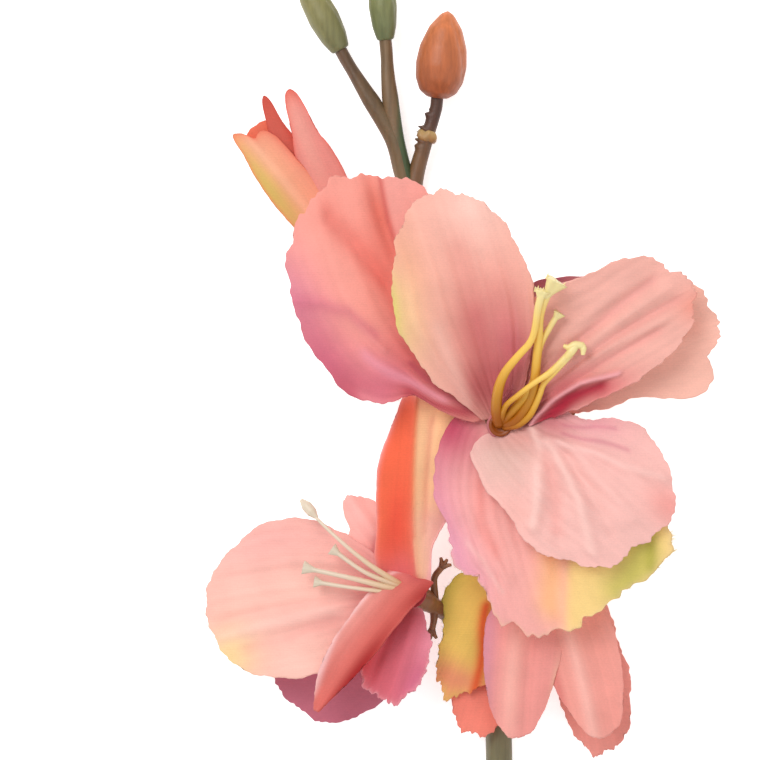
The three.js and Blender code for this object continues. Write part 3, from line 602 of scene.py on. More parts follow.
def petal_dye_and_painted_light(petal, s, t, x, y, length, fan, edge):
    """The dye on a petal, laid in turn over its ground colour: washes, exp(-(ds / along) ** 2 - (dt / across)
    ** 2); panels, 0.5 + 0.5 * tanh(off / soft) on the right of a line seen from the root; strokes,
    exp(-(off / width) ** 2) along a line; and a rim, exp(-edge / width). Each is times its strength. Faint
    streaks run from root to tip. Beside the cloth's own dyes, some washes, panels and strokes paint shade
    into folds, creases and recesses, and highlights onto ridges, as noted at each petal."""
    dye = np.broadcast_to(linear(petal["ground"]), (*s.shape, 3)).copy()

    def lay(colour, cover):
        dye[...] += (linear(colour) - dye) * cover[..., None]

    for colour, s0, t0, along, across, strength in petal.get("washes", ()):
        lay(colour, strength * np.exp(-(((s - s0) / along) ** 2) - ((t - t0) / across) ** 2))
    for colour, (first, last), soft, strength in petal.get("panels", ()):
        start, end = (np.array([s0 * length, t0 * petal["wide"][t0 > 0]]) for s0, t0 in (first, last))
        way = unit(end - start)
        off = (x - start[1]) * way[0] - (y - start[0]) * way[1]
        lay(colour, strength * (0.5 + 0.5 * np.tanh(off / soft)))
    for colour, points, width, strength in petal.get("strokes", ()):
        lay(colour, strength * np.exp(-((off_line(petal, length, x, y, points) / width) ** 2)))
    if "rim" in petal:
        colour, width, strength = petal["rim"]
        lay(colour, strength * np.exp(-edge / width))
    draw = np.random.default_rng(petal["seed"] + 7)
    streaks = 0 * s
    for waves in STREAK_WAVES:
        streaks += np.sin(fan * waves * draw.uniform(0.8, 1.2) + draw.uniform(0, 6.28))
    return dye * (1 + STREAK_DEPTH * streaks[..., None])


def frayed(point, angle, petal):
    """Loose fibre ends along the outline: thin three-sided rods that start inside the edge and lean by
    chance, for each (count, from angle, to angle, length)."""
    rim = np.vstack([point[:, 0], point[-1, 1:-1], point[::-1, -1]])
    inner = np.vstack([point[:, 2], point[-3, 1:-1], point[::-1, -3]])
    turn = np.concatenate([angle[:, 0], angle[-1, 1:-1], angle[::-1, -1]])
    draw = np.random.default_rng(petal["seed"] + 50)
    shells = []
    for count, low, high, length in petal.get("fray", ()):
        inside = np.flatnonzero((turn >= low) & (turn <= high))
        for pick in draw.choice(inside, count):
            out = unit(rim[pick] - inner[pick])
            aim = unit(out + draw.normal(0, FIBRE_SPREAD, 3))
            reach = length * draw.uniform(0.3, 1)
            root = rim[pick] - out * FIBRE_ROOT
            bend = root + aim * reach * 0.5 + draw.normal(0, FIBRE_KINK, 3)
            shells.append(rod([root, bend, root + out * 0.1 + aim * reach], FIBRE_RADII, sides=3, steps=3))
    return shells


def whorl(name, node, hub, axis, lift, heart, petals, rows=140, columns=100):
    """A whorl of petals: a ring of cloth, in the dye of the bloom's heart, and a sheet for each petal, with
    its loose fibres. A petal's place on the cloth is its place seen from above."""
    r, h = RING_RADIUS, CLOTH / 2
    ring = lathe([[0, -h], [PIN_RADIUS, -h], [r, -h], [r, h], [PIN_RADIUS, h], [0, h]],
                 np.asarray(hub, float) + unit(axis) * lift, axis)
    shells = [ring]
    dyes = [np.tile(linear(heart), (len(ring[0]), 1))]
    uvs = [ring[0][:, :2]]
    for petal in petals:
        point, angle, places = petal_surface(hub, axis, lift, petal, rows, columns)
        shells.append((*sheet_shell(point, CLOTH), None))
        dye = petal_dye_and_painted_light(petal, *places)
        dyes += [dye.reshape(-1, 3)] * 2
        uvs += [point[..., :2].reshape(-1, 2)] * 2
        for fibre in frayed(point, angle, petal):
            shells.append(fibre)
            near = np.argmin(np.sum((point[-1] - fibre[0][-2]) ** 2, -1))
            tint = linear(petal["fibre"]) if "fibre" in petal else dye[-1, near]
            dyes.append(np.tile(tint, (len(fibre[0]), 1)))
            uvs.append(fibre[0][:, :2])
    build(name, shells, petal_fabric, node, dyes, uvs)


# A petal leaves the ring on the side of "from", or else of its belly, is drawn towards its belly and ends at
# its tip, all measured from the hub. "face" is the way it faces, "wide" its half width to the left and right,
# "widest" how far along that is, and "root" its width at the ring as a share of that. Places on it are
# (along, across), from 0 at the ring to 1 at the tip and from -1 to 1. Angles go round from 0 at the tip.
whorl("main_outer_whorl", "main_outer_petals", MAIN_HUB, MAIN_AXIS, 0, MAIN_HEART, [
    {
        "belly": (-29, 18, 10), "tip": (-39, 61.5, 4), "face": (0.1, 0, 1), "wide": (22.5, 24),
        "widest": 0.6, "root": 0.14, "lobes": [(40, 18, 2.2), (-146, 22, -7.5)], "seed": 3,
        "ground": (245, 166, 152),
        "panels": [((238, 166, 156), [(0.6, 0.32), (0.97, 0.39)], 0.5, 0.85)],
        "washes": [
            ((228, 146, 168), 0.72, -1.0, 0.16, 0.35, 0.8),
            ((208, 104, 130), 0.5, -0.95, 0.2, 0.35, 0.9),
            ((218, 118, 140), 0.33, -0.6, 0.16, 0.5, 0.8),
            ((228, 118, 100), 0.86, 0.26, 0.12, 0.13, 0.85),
            ((232, 124, 108), 0.72, 0.1, 0.12, 0.2, 0.6),
            ((232, 126, 112), 0.56, 0.2, 0.22, 0.3, 0.6),
            ((212, 98, 96), 0.36, 0.0, 0.16, 0.35, 0.8),
            ((200, 86, 96), 0.22, -0.45, 0.12, 0.3, 0.7),
            ((196, 88, 104), 0.4, -0.9, 0.1, 0.22, 0.7),
            ((216, 120, 120), 0.05, 0.0, 0.1, 1.0, 0.6),
        ],
        "strokes": [
            # The first stroke is painted shade: a dark line in the first crease below.
            ((204, 88, 86), [(0.97, 0.38), (0.84, 0.34), (0.62, 0.32)], 0.7, 0.55),
            ((228, 116, 104), [(0.9, -0.26), (0.8, -0.07), (0.66, 0.08), (0.5, 0.12)], 2.6, 0.55),
            ((206, 104, 130), [(0.71, -0.95), (0.68, -0.7), (0.62, -0.44), (0.52, -0.3)], 1.2, 0.4),
            ((188, 72, 84), [(0.2, -0.36), (0.13, -0.28), (0.07, -0.1)], 2.0, 0.8),
            # Painted highlights: the next two pale strokes, on a rise and on the ridge of the last fold.
            # Painted shadow: the dark stroke after them, cast by the edge of the inner whorl's upper petal.
            ((234, 146, 154), [(0.36, -0.78), (0.24, -0.62), (0.17, -0.52)], 1.6, 0.6),
            ((236, 156, 172), [(0.47, -0.5), (0.33, -0.36), (0.16, -0.15)], 1.3, 0.6),
            ((170, 60, 80), [(0.34, -0.14), (0.2, -0.1), (0.06, -0.03)], 0.9, 0.6),
        ],
        "folds": [
            ([(0.99, 0.28), (0.86, 0.26), (0.74, 0.28)], 1.8, -1.2),
            ([(0.9, -0.26), (0.8, -0.07), (0.66, 0.08)], 1.8, -1.3),
            ([(0.8, -0.4), (0.66, -0.2)], 3.0, 0.9),
            ([(0.47, -0.5), (0.16, -0.15)], 1.8, 0.9),
        ],
        "creases": [
            ([(0.97, 0.38), (0.84, 0.34), (0.62, 0.32)], 1.2, -1.3),
            ([(0.71, -0.97), (0.68, -0.7), (0.62, -0.44), (0.45, -0.3)], 1.4, 1.3),
        ],
        "pleats": [(12, 0.1, 0.3)], "fray": [(90, -170, -70, 0.8)], "ruffle": (6, 0.9), "scallop": 0.4,
        "scallops": 22, "ragged": 0.9,
    },
    {
        "belly": (25, 16.5, 7), "tip": (54.3, 25.8, 5), "wide": (21, 10.5), "widest": 0.6, "root": 0.15,
        "lobes": [(66, 18, 6.5), (-108, 12, 8)], "seed": 5, "ground": (247, 195, 178),
        "washes": [
            ((210, 96, 108), 0.26, 0.1, 0.2, 0.5, 0.75),
            ((166, 80, 100), 0.45, -1.0, 0.2, 0.3, 0.95),
        ],
        "folds": [([(0.95, 0.1), (0.4, 0.2)], 2.5, 1.0)],
    },
    {
        "belly": (3.5, -28.5, 8), "tip": (13.5, -51.5, 2), "wide": (27, 21.5), "widest": 0.55, "root": 0.2,
        "lobes": [(-72, 24, 10), (-100, 20, 2), (-26, 12, 1.6), (140, 20, 7), (162, 14, 5), (106, 14, -2),
                  (66, 30, -7)],
        "seed": 9, "ground": (247, 180, 172),
        "panels": [((250, 220, 144), [(1.0, -0.1), (0.5, -0.48)], 0.9, 0.95)],
        "washes": [
            ((230, 158, 184), 0.42, 1.0, 0.5, 0.38, 0.85),
            ((212, 112, 152), 0.18, 1.1, 0.16, 0.5, 0.8),
            ((190, 56, 94), 0.1, 0.45, 0.11, 0.3, 0.9),
        ],
        "strokes": [
            ((255, 196, 142), [(0.45, -0.3), (0.72, -0.17), (0.86, -0.06)], 3.4, 0.85),
            ((240, 140, 130), [(0.3, 0.35), (0.4, 0.42), (0.52, 0.34)], 1.6, 0.4),
            # A painted highlight on the ridge of the first fold below.
            ((250, 206, 198), [(0.45, 0.62), (0.56, 0.5), (0.66, 0.47), (0.76, 0.4)], 0.6, 0.35),
            ((208, 200, 100), [(0.5, -1.1), (0.7, -1.0), (0.9, -0.72)], 4.5, 0.85),
            ((176, 172, 60), [(0.56, -1.2), (0.76, -1.05)], 1.3, 0.6),
        ],
        "folds": [
            ([(0.45, 0.62), (0.62, 0.5), (0.78, 0.42)], 1.3, 0.7),
            ([(0.4, 0.48), (0.7, 0.3)], 1.2, 0.6),
            ([(0.4, -0.35), (1.0, -0.06)], 1.6, -0.6),
            ([(0.1, 0.7), (0.4, 0.95)], 2.5, -0.8),
            ([(0.35, -0.6), (0.75, -0.55)], 2.0, 0.7),
        ],
        "rim": ((240, 206, 166), 0.6, 0.4), "fray": [(150, -60, 110, 1.0), (100, -110, -60, 1.8)],
        "pleats": [(15, 0.1, 0.6)], "scallop": 0.6, "ragged": 1.4,
    },
])

# ==== Main bloom: inner petals ====
# A second blank of the same cloth, paler, on the pin above the first. Its lower petal is pressed into a fan
# of pleats, and its right one is folded along its lower edge. Shade under the stamens and in the folds, and
# highlights on the ridges, are painted into its dyes.
WHORL_STEP = 1.8  # from one blank to the next along the pin
whorl("main_inner_whorl", "main_inner_petals", MAIN_HUB, MAIN_AXIS, WHORL_STEP, MAIN_HEART, [
    {
        "belly": (-6, 31, 18), "tip": (-16, 58, 18), "face": (-0.2, -0.35, 1), "wide": (19, 16.5),
        "widest": 0.56, "root": 0.22, "curl": 0.02, "cup": 0.05, "start": 1.8,
        "lobes": [(-68, 18, -0.8), (-100, 18, 1.2), (-132, 18, 1.4), (30, 25, -0.8)],
        "seed": 11, "ground": (244, 184, 168),
        "washes": [
            ((226, 140, 130), 0.48, 0.4, 0.2, 0.5, 0.6),
            ((206, 106, 114), 0.28, 0.45, 0.2, 0.42, 0.9),
            ((240, 178, 146), 0.72, -0.7, 0.3, 0.3, 0.7),
            ((246, 206, 156), 0.52, -0.85, 0.2, 0.2, 0.8),
            ((226, 214, 120), 0.54, -1.02, 0.2, 0.12, 0.9),
            ((248, 208, 196), 0.92, 0.45, 0.2, 0.5, 0.7),
            # This wash and the last one keep the root deep rose and darken it further as painted shade under
            # the stamens.
            ((188, 80, 90), 0.14, 0.1, 0.14, 0.4, 0.85),
            ((208, 116, 112), 0.34, -0.14, 0.2, 0.26, 0.7),
            ((184, 80, 84), 0.14, -0.16, 0.1, 0.24, 0.75),
        ],
        "strokes": [
            ((224, 140, 132), [(0.72, 0.0), (0.55, -0.02), (0.3, -0.06), (0.1, -0.04)], 3.0, 0.3),
            ((206, 104, 108), [(0.42, 0.0), (0.3, 0.0), (0.08, 0.0)], 3.0, 0.5),
            ((250, 200, 186), [(0.42, -0.52), (0.28, -0.48), (0.1, -0.38)], 1.6, 0.4),
        ],
        "folds": [
            ([(0.7, 0.0), (0.37, -0.06), (0.1, -0.04)], 2.8, -0.9),
            ([(0.9, -0.3), (0.5, -0.45)], 3.2, 0.8),
            ([(0.85, 0.35), (0.45, 0.4), (0.25, 0.35)], 2.6, 0.9),
        ],
        "pleats": [(11, 0.12, 0.4), (17, 0.06, 1.7)], "ruffle": (5, 0.6), "scallop": 0.2,
    },
    {
        "belly": (14, 15.5, 18), "tip": (47, 34.5, 15), "face": (-0.25, -0.3, 1), "wide": (13.5, 12),
        "widest": 0.62, "root": 0.26, "curl": 0.015, "cup": 0.06, "start": 1.8,
        "lobes": [(-62, 24, 3.2), (-102, 20, 5.6), (-142, 20, -3.5), (60, 25, 1.5)],
        "seed": 14, "ground": (241, 183, 170),
        "washes": [
            ((202, 96, 110), 0.1, -0.2, 0.2, 0.9, 0.9),
            ((212, 100, 106), 0.34, 0.28, 0.17, 0.25, 0.9),
            # Painted shade over the lip's own deep rose: the crimson in the recess under the folded lower
            # lip.
            ((158, 30, 46), 0.28, 0.62, 0.2, 0.2, 0.95),
            ((150, 52, 40), 0.1, 0.3, 0.08, 0.2, 0.7),
            ((230, 150, 166), 0.16, 0.98, 0.14, 0.24, 0.9),
            ((222, 120, 122), 0.52, 0.88, 0.14, 0.25, 0.8),
            ((238, 150, 132), 0.98, 0.4, 0.07, 0.35, 0.7),
        ],
        "strokes": [
            # The next three strokes are painted shade along the valleys of the first three folds.
            ((234, 154, 152), [(0.2, 0.0), (0.5, -0.22), (0.87, -0.45)], 1.3, 0.35),
            ((234, 154, 150), [(0.25, 0.12), (0.6, 0.05), (0.92, 0.1)], 1.3, 0.35),
            ((232, 148, 146), [(0.2, 0.3), (0.54, 0.35), (0.8, 0.45)], 1.3, 0.35),
            # Painted shade in the recess under the folded lip, over its deep rose. The pale stroke after it
            # is a painted highlight on the lip's raised edge.
            ((182, 44, 66), [(0.18, 0.58), (0.34, 0.55), (0.5, 0.74)], 1.8, 0.9),
            ((242, 172, 176), [(0.1, 0.46), (0.15, 0.4), (0.29, 0.37), (0.44, 0.43), (0.6, 0.72)], 0.5, 0.8),
        ],
        "folds": [
            ([(0.2, 0.0), (0.5, -0.22), (0.87, -0.45)], 1.6, -0.8),
            ([(0.25, 0.12), (0.6, 0.04), (0.92, 0.1)], 1.5, -0.8),
            ([(0.2, 0.3), (0.54, 0.35), (0.8, 0.45)], 1.6, -0.8),
            ([(0.3, 0.05), (0.6, -0.1), (0.9, -0.2)], 1.6, 0.8),
            ([(0.3, 0.22), (0.6, 0.18), (0.85, 0.28)], 1.6, 0.9),
            ([(0.45, -0.4), (0.75, -0.65)], 1.8, 0.8),
            ([(0.1, 0.46), (0.15, 0.4), (0.29, 0.37), (0.44, 0.43), (0.6, 0.72)], 0.8, 1.3),
            ([(0.18, 0.6), (0.34, 0.55), (0.5, 0.74)], 1.6, -1.3),
        ],
        "pleats": [(12, 0.1, 0.2)], "ruffle": (4, 0.5), "ragged": 0.7,
    },
    {
        "belly": (15.5, -11, 16), "tip": (37, -30.5, 8), "face": (0, 0.05, 1), "wide": (21, 20),
        "widest": 0.58, "root": 0.3, "curl": -0.01, "cup": 0.02, "start": 1.6,
        "lobes": [(-122, 20, -3.6), (-60, 25, 1), (-26, 14, 0.8), (8, 18, -1.6), (56, 16, -1.8),
                  (82, 18, -0.8), (112, 16, -1.4), (134, 18, 2.2), (158, 16, 4.2)],
        "seed": 17, "ground": (248, 196, 188),
        "washes": [
            ((228, 160, 168), 0.36, -0.85, 0.22, 0.35, 0.75),
            # These two washes are painted shadow beside the base of the stamens.
            ((196, 104, 114), 0.2, -0.4, 0.12, 0.24, 0.75),
            ((146, 40, 52), 0.09, -0.34, 0.07, 0.2, 0.95),
            # Painted shade: the greyer panel beside the ridge of the first fold.
            ((222, 184, 172), 0.2, 0.3, 0.14, 0.35, 0.75),
            ((224, 160, 150), 0.12, 0.0, 0.12, 0.2, 0.7),
            ((244, 186, 176), 0.36, 0.8, 0.14, 0.3, 0.7),
            ((240, 150, 142), 0.92, -0.5, 0.1, 0.2, 0.6),
        ],
        "strokes": [
            # The next three pale strokes are painted highlights on the ridges of the pleats, and the fourth
            # is painted shade in a valley.
            ((252, 214, 204), [(0.16, -0.18), (0.26, -0.06), (0.34, 0.1), (0.42, 0.42), (0.5, 0.75)],
             0.9, 0.45),
            ((252, 212, 202), [(0.27, -0.17), (0.44, -0.04), (0.6, 0.14), (0.82, 0.51)], 0.9, 0.4),
            ((252, 208, 200), [(0.33, -0.25), (0.5, -0.42), (0.66, -0.52), (0.82, -0.72)], 0.8, 0.4),
            ((234, 158, 150), [(0.3, -0.02), (0.44, 0.16), (0.54, 0.42), (0.62, 0.6)], 1.3, 0.4),
            ((202, 108, 132), [(0.3, -0.36), (0.44, -0.52), (0.62, -0.7)], 0.6, 0.4),
            ((202, 108, 132), [(0.26, -0.45), (0.38, -0.66), (0.5, -0.8)], 0.6, 0.35),
        ],
        "folds": [
            ([(0.16, -0.18), (0.26, -0.06), (0.34, 0.1), (0.42, 0.42), (0.5, 0.75)], 1.4, 1.6),
            ([(0.27, -0.17), (0.44, -0.04), (0.6, 0.14), (0.82, 0.51)], 1.5, 1.4),
            ([(0.33, -0.27), (0.6, -0.22), (0.85, -0.12)], 1.6, 1.0),
            ([(0.33, -0.25), (0.5, -0.42), (0.66, -0.52), (0.82, -0.72)], 1.3, 1.1),
            ([(0.3, -0.02), (0.44, 0.16), (0.54, 0.42), (0.66, 0.66)], 1.8, -1.1),
            ([(0.4, -0.18), (0.6, -0.04), (0.84, 0.16)], 1.6, -0.9),
            ([(0.15, 0.35), (0.3, 0.75)], 4.0, 1.6),
        ],
        "pleats": [(14, 0.1, 0.9)], "ruffle": (6, 0.6), "scallop": 0.2, "ragged": 0.7,
    },
])

# ==== Main bloom: stamens ====
# One yellow plastic moulding: the pin with its head, and filaments with ragged, three-lobed and
# hammer-shaped ends. It is amber at the root, where the plastic is thick, and pale at the tips. The darkest
# amber at the root is partly painted shade between the crowded roots.
PIN_DEPTH = 8
HEAD_BASE = WHORL_STEP + 1.0  # the underside of the head, just clear of the upper blank
SHORTEST = 0.68  # of the longest filament's reach; a shorter one stops part of the way through the colours


def stamen_plastic():
    """Slightly glossy, slightly translucent plastic in the colour of the dye."""
    material, shader, node = new_material("filament_plastic", 0.35)
    dye = dye_of(node)
    link(material, dye, shader.inputs["Base Color"])
    let_light_through(material, shader, node, dye, 0.2)
    return material


filament_plastic = stamen_plastic()


def dye_along(share, colours):
    """The colours, spread evenly from root to tip."""
    stops = np.array([linear(colour) for colour in colours])
    return np.stack([spread(stops[:, k], share) for k in range(3)], -1)


def head_shell(hub, axis):
    """The pin and the shallow dish on its end, from which the filaments rise, turned round the axis."""
    base = HEAD_BASE
    profile = [[0, -PIN_DEPTH], [PIN_RADIUS, -PIN_DEPTH], [PIN_RADIUS, base], [2.4, base], [3, base + 0.5],
               [2.8, base + 1.1], [2.2, base + 1.1], [1.7, base + 0.7], [0, base + 0.6]]
    return lathe(rounded(profile, 0.25), hub, axis)


def teeth(tip, heading, spots):
    """Small pointed rods that make an end ragged, each at (lean to the side, length)."""
    side = unit(np.cross(heading, (0, 0, 1)))
    shells = []
    for lean, length in spots:
        tooth = [tip - heading * 0.4 + side * lean, tip + side * lean * 1.15 + heading * length]
        shells.append(rod(tooth, [0.3, 0.08], sides=6, steps=4))
    return shells


def flare(tip, heading, length, radius, lobes):
    """A trumpet on an end, of radius * (1 + 0.3 * u * cos(lobes * turn) + 0.08 * u * cos(7 * turn))."""

    def lobed(turn, u):
        return 1 + 0.3 * u * np.cos(lobes * turn) + 0.08 * u * np.cos(7 * turn)

    return rod([tip - heading * length, tip - heading * length * 0.4, tip + heading * 0.4],
               [radius * 0.35, radius * 0.5, radius * 0.75, radius], sides=24, steps=12, section=lobed)


# The first stop, the darkest amber, is partly painted shade between the crowded roots.
YELLOWS = [(148, 70, 2), (180, 102, 8), (224, 164, 50), (248, 206, 94), (250, 216, 116), (246, 230, 166)]
MAIN_FILAMENTS = [
    ([(-0.3, 0.3, 3.6), (-1.1, 3.6, 7.5), (-1, 7, 10), (-0.3, 10.5, 12.5), (1.2, 13.7, 15), (4, 17.2, 17),
      (7.2, 21.1, 19), (8.7, 29, 23.5), (9.6, 32.8, 25)],
     [1.5, 1.4, 1.3, 1.1, 0.95, 0.85, 0.9, 1]),
    ([(0.9, 0.3, 3.5), (3.4, 1, 5.6), (5.6, 3.5, 7.6), (7.4, 7, 9.6), (8.2, 10.5, 11.8), (8.6, 15.8, 14.5),
      (9, 21, 17.5), (9.3, 27.5, 21.5), (11.2, 32.8, 24.3), (12.6, 35.2, 25)],
     [1.4, 1.3, 1.25, 1.15, 1.05, 1, 1.1]),
    ([(0.6, 0.5, 3.5), (4.6, 2.6, 6.4), (7.6, 8, 9.5), (8.6, 14.7, 13.5), (9.6, 20, 16.5), (11.4, 23.6, 18),
      (13.7, 27.5, 19)], [1.2, 1, 0.9, 0.8, 0.75]),
    ([(0.6, 0.6, 3.6), (0.4, 2.7, 7), (1.3, 5, 9.5), (4.1, 7.5, 12.5), (7.5, 10.2, 14.8), (12.2, 13.4, 16),
      (16.8, 18, 17.1)], [1, 0.75, 0.68, 0.7, 0.85, 0.9]),
    ([(0.9, -0.3, 3.5), (4.2, 0.1, 5.8), (7, 2.3, 8), (8.4, 4.8, 9.6), (9.5, 7.6, 11.3), (10.4, 10.2, 13),
      (12.8, 13, 15.4), (17.1, 17.9, 17)], [1.1, 0.9, 0.8, 0.74, 0.8, 0.9]),
    ([(0.4, 0.5, 3.4), (2, 2.6, 6), (4.4, 5.4, 8.4), (6.6, 8.2, 10.2), (8, 12, 12.5)],
     [1.2, 1.2, 1.1, 0.9, 0.6]),
    ([(15.1, 19.7, 17.2), (16.4, 19.3, 17.3), (17.9, 19.9, 17.4), (19.8, 19.7, 17.3)], [0.45, 0.85, 1, 0.9]),
    ([(19.5, 20.4, 17.2), (20, 19.2, 17.3), (19.9, 17.4, 17.2)], [0.6, 0.85, 0.5]),
    ([(15.6, 16.7, 16.9), (17, 18.2, 17.2), (18.2, 19.8, 17.3)], [0.8, 1.15, 1]),
]


def stamens(name, node, hub, axis, filaments, colours, ragged, flared, over=(-0.7, 0.7, 0)):
    """The head with its filaments of (points, radii). By the filament's number, ragged gives the teeth of
    its end, and flared its trumpet's (length, radius, lobes). A filament is dyed by how far it is from the
    hub, as a share of its own reach or of SHORTEST times the longest one, whichever is more."""
    longest = max(np.linalg.norm(points[-1]) for points, _ in filaments)
    shells = [head_shell(hub, axis)]
    dyes = [np.tile(linear(colours[0]), (len(shells[0][0]), 1))]
    for number, (points, radii) in enumerate(filaments):
        path = np.asarray(points, float) + hub
        shells.append(rod(path, radii, sides=12, steps=40, over=over))
        reach = max(np.linalg.norm(points[-1]), SHORTEST * longest)
        dyes.append(dye_along(np.linalg.norm(shells[-1][0] - hub, axis=1) / reach, colours))
        heading = unit(path[-1] - path[-2])
        trims = teeth(path[-1], heading, ragged.get(number, ()))
        if number in flared:
            trims.append(flare(path[-1], heading, *flared[number]))
        for trim in trims:
            shells.append(trim)
            dyes.append(np.tile(linear(colours[-1]), (len(trim[0]), 1)))
    build(name, shells, filament_plastic, node, dyes)


stamens("main_stamen_bunch", "main_stamens", MAIN_HUB, MAIN_AXIS, MAIN_FILAMENTS, YELLOWS, {
    0: [(-1.7, 0.9), (-1.1, 1.3), (-0.5, 1.0), (0.1, 1.2), (0.8, 0.9)],
    1: [(-2.1, 1.2), (0, 0.8), (2.1, 1.3)],
}, {0: (3, 1.6, 2), 1: (4.5, 2.5, 3), 2: (2.2, 1.4, 3)})

# ==== Left bloom: calyx ====
# The same cup as the main bloom's but slimmer, turned to the left. One claw stands up beside the bloom, one
# comes out under it, and the third is behind it.
calyx("left_calyx_cup", "left_calyx", LEFT_HUB, LEFT_AXIS, LEFT_LENGTH, [
    [(5, -4.2, -5.2), (4.8, 0, -4), (4.8, 4.4, -2), (6.6, 7, -0.6)],
    [(4.8, -4, -5), (4.6, -7, -5.5), (4.2, -9, -5.4)],
    [(4.8, -4, -5.5), (3, -1.5, -10), (0, 0.5, -12)],
], girth=0.65)

# ==== Left bloom: outer petals ====
# The back blank of the left bloom, cut as the main one's and folded more. Its petals show only at the edges
# of the inner ones.
SIDE_HEART = (196, 74, 84)
whorl("left_outer_whorl", "left_outer_petals", LEFT_HUB, LEFT_AXIS, 0, SIDE_HEART, [
    {
        "belly": (-7.5, 8, -3), "tip": (-16.5, 22.8, -4), "wide": (7, 9), "widest": 0.6, "root": 0.2,
        "lobes": [(0, 25, 1), (-40, 20, -1.5)], "seed": 21, "ground": (252, 192, 184),
        "washes": [((226, 126, 124), 0.5, 0.2, 0.2, 0.5, 0.7)],
        "strokes": [((206, 90, 100), [(0.5, -0.6), (0.7, 0.4)], 0.7, 0.5)],
        "folds": [([(0.95, 0.1), (0.4, 0.2)], 1.5, 1.0)], "ragged": 0.3,
    },
    {
        "belly": (-3, -12.5, 5), "tip": (-8, -26.5, 0), "wide": (7.6, 10), "widest": 0.6, "root": 0.3,
        "curl": -0.02, "seed": 23, "ground": (222, 112, 126),
        "washes": [
            # Partly the red of the petal's inner face and partly painted shade inside it: the red on this
            # flank and the dark red at the root.
            ((246, 88, 90), 0.65, 1.0, 0.4, 0.6, 0.9),
            ((190, 60, 56), 0.1, 0.6, 0.2, 0.8, 0.7),
            ((232, 148, 166), 0.35, -0.9, 0.3, 0.5, 0.9),
            ((218, 116, 146), 0.8, -0.9, 0.25, 0.5, 0.9),
        ],
        "folds": [([(0.15, -0.1), (0.9, -0.2)], 1.8, 1.0), ([(0.3, 0.4), (0.9, 0.5)], 1.4, -0.9)],
        "roll": (0.8, 0.8), "rim": ((244, 172, 180), 0.5, 0.6), "ragged": 0.9,
    },
    {
        "belly": (-16.5, -15.5, -8), "tip": (-33, -27.5, -19), "wide": (15, 15), "widest": 0.6, "root": 0.2,
        "seed": 25, "ground": (200, 112, 130), "ragged": 0.5,
    },
], rows=84, columns=60)

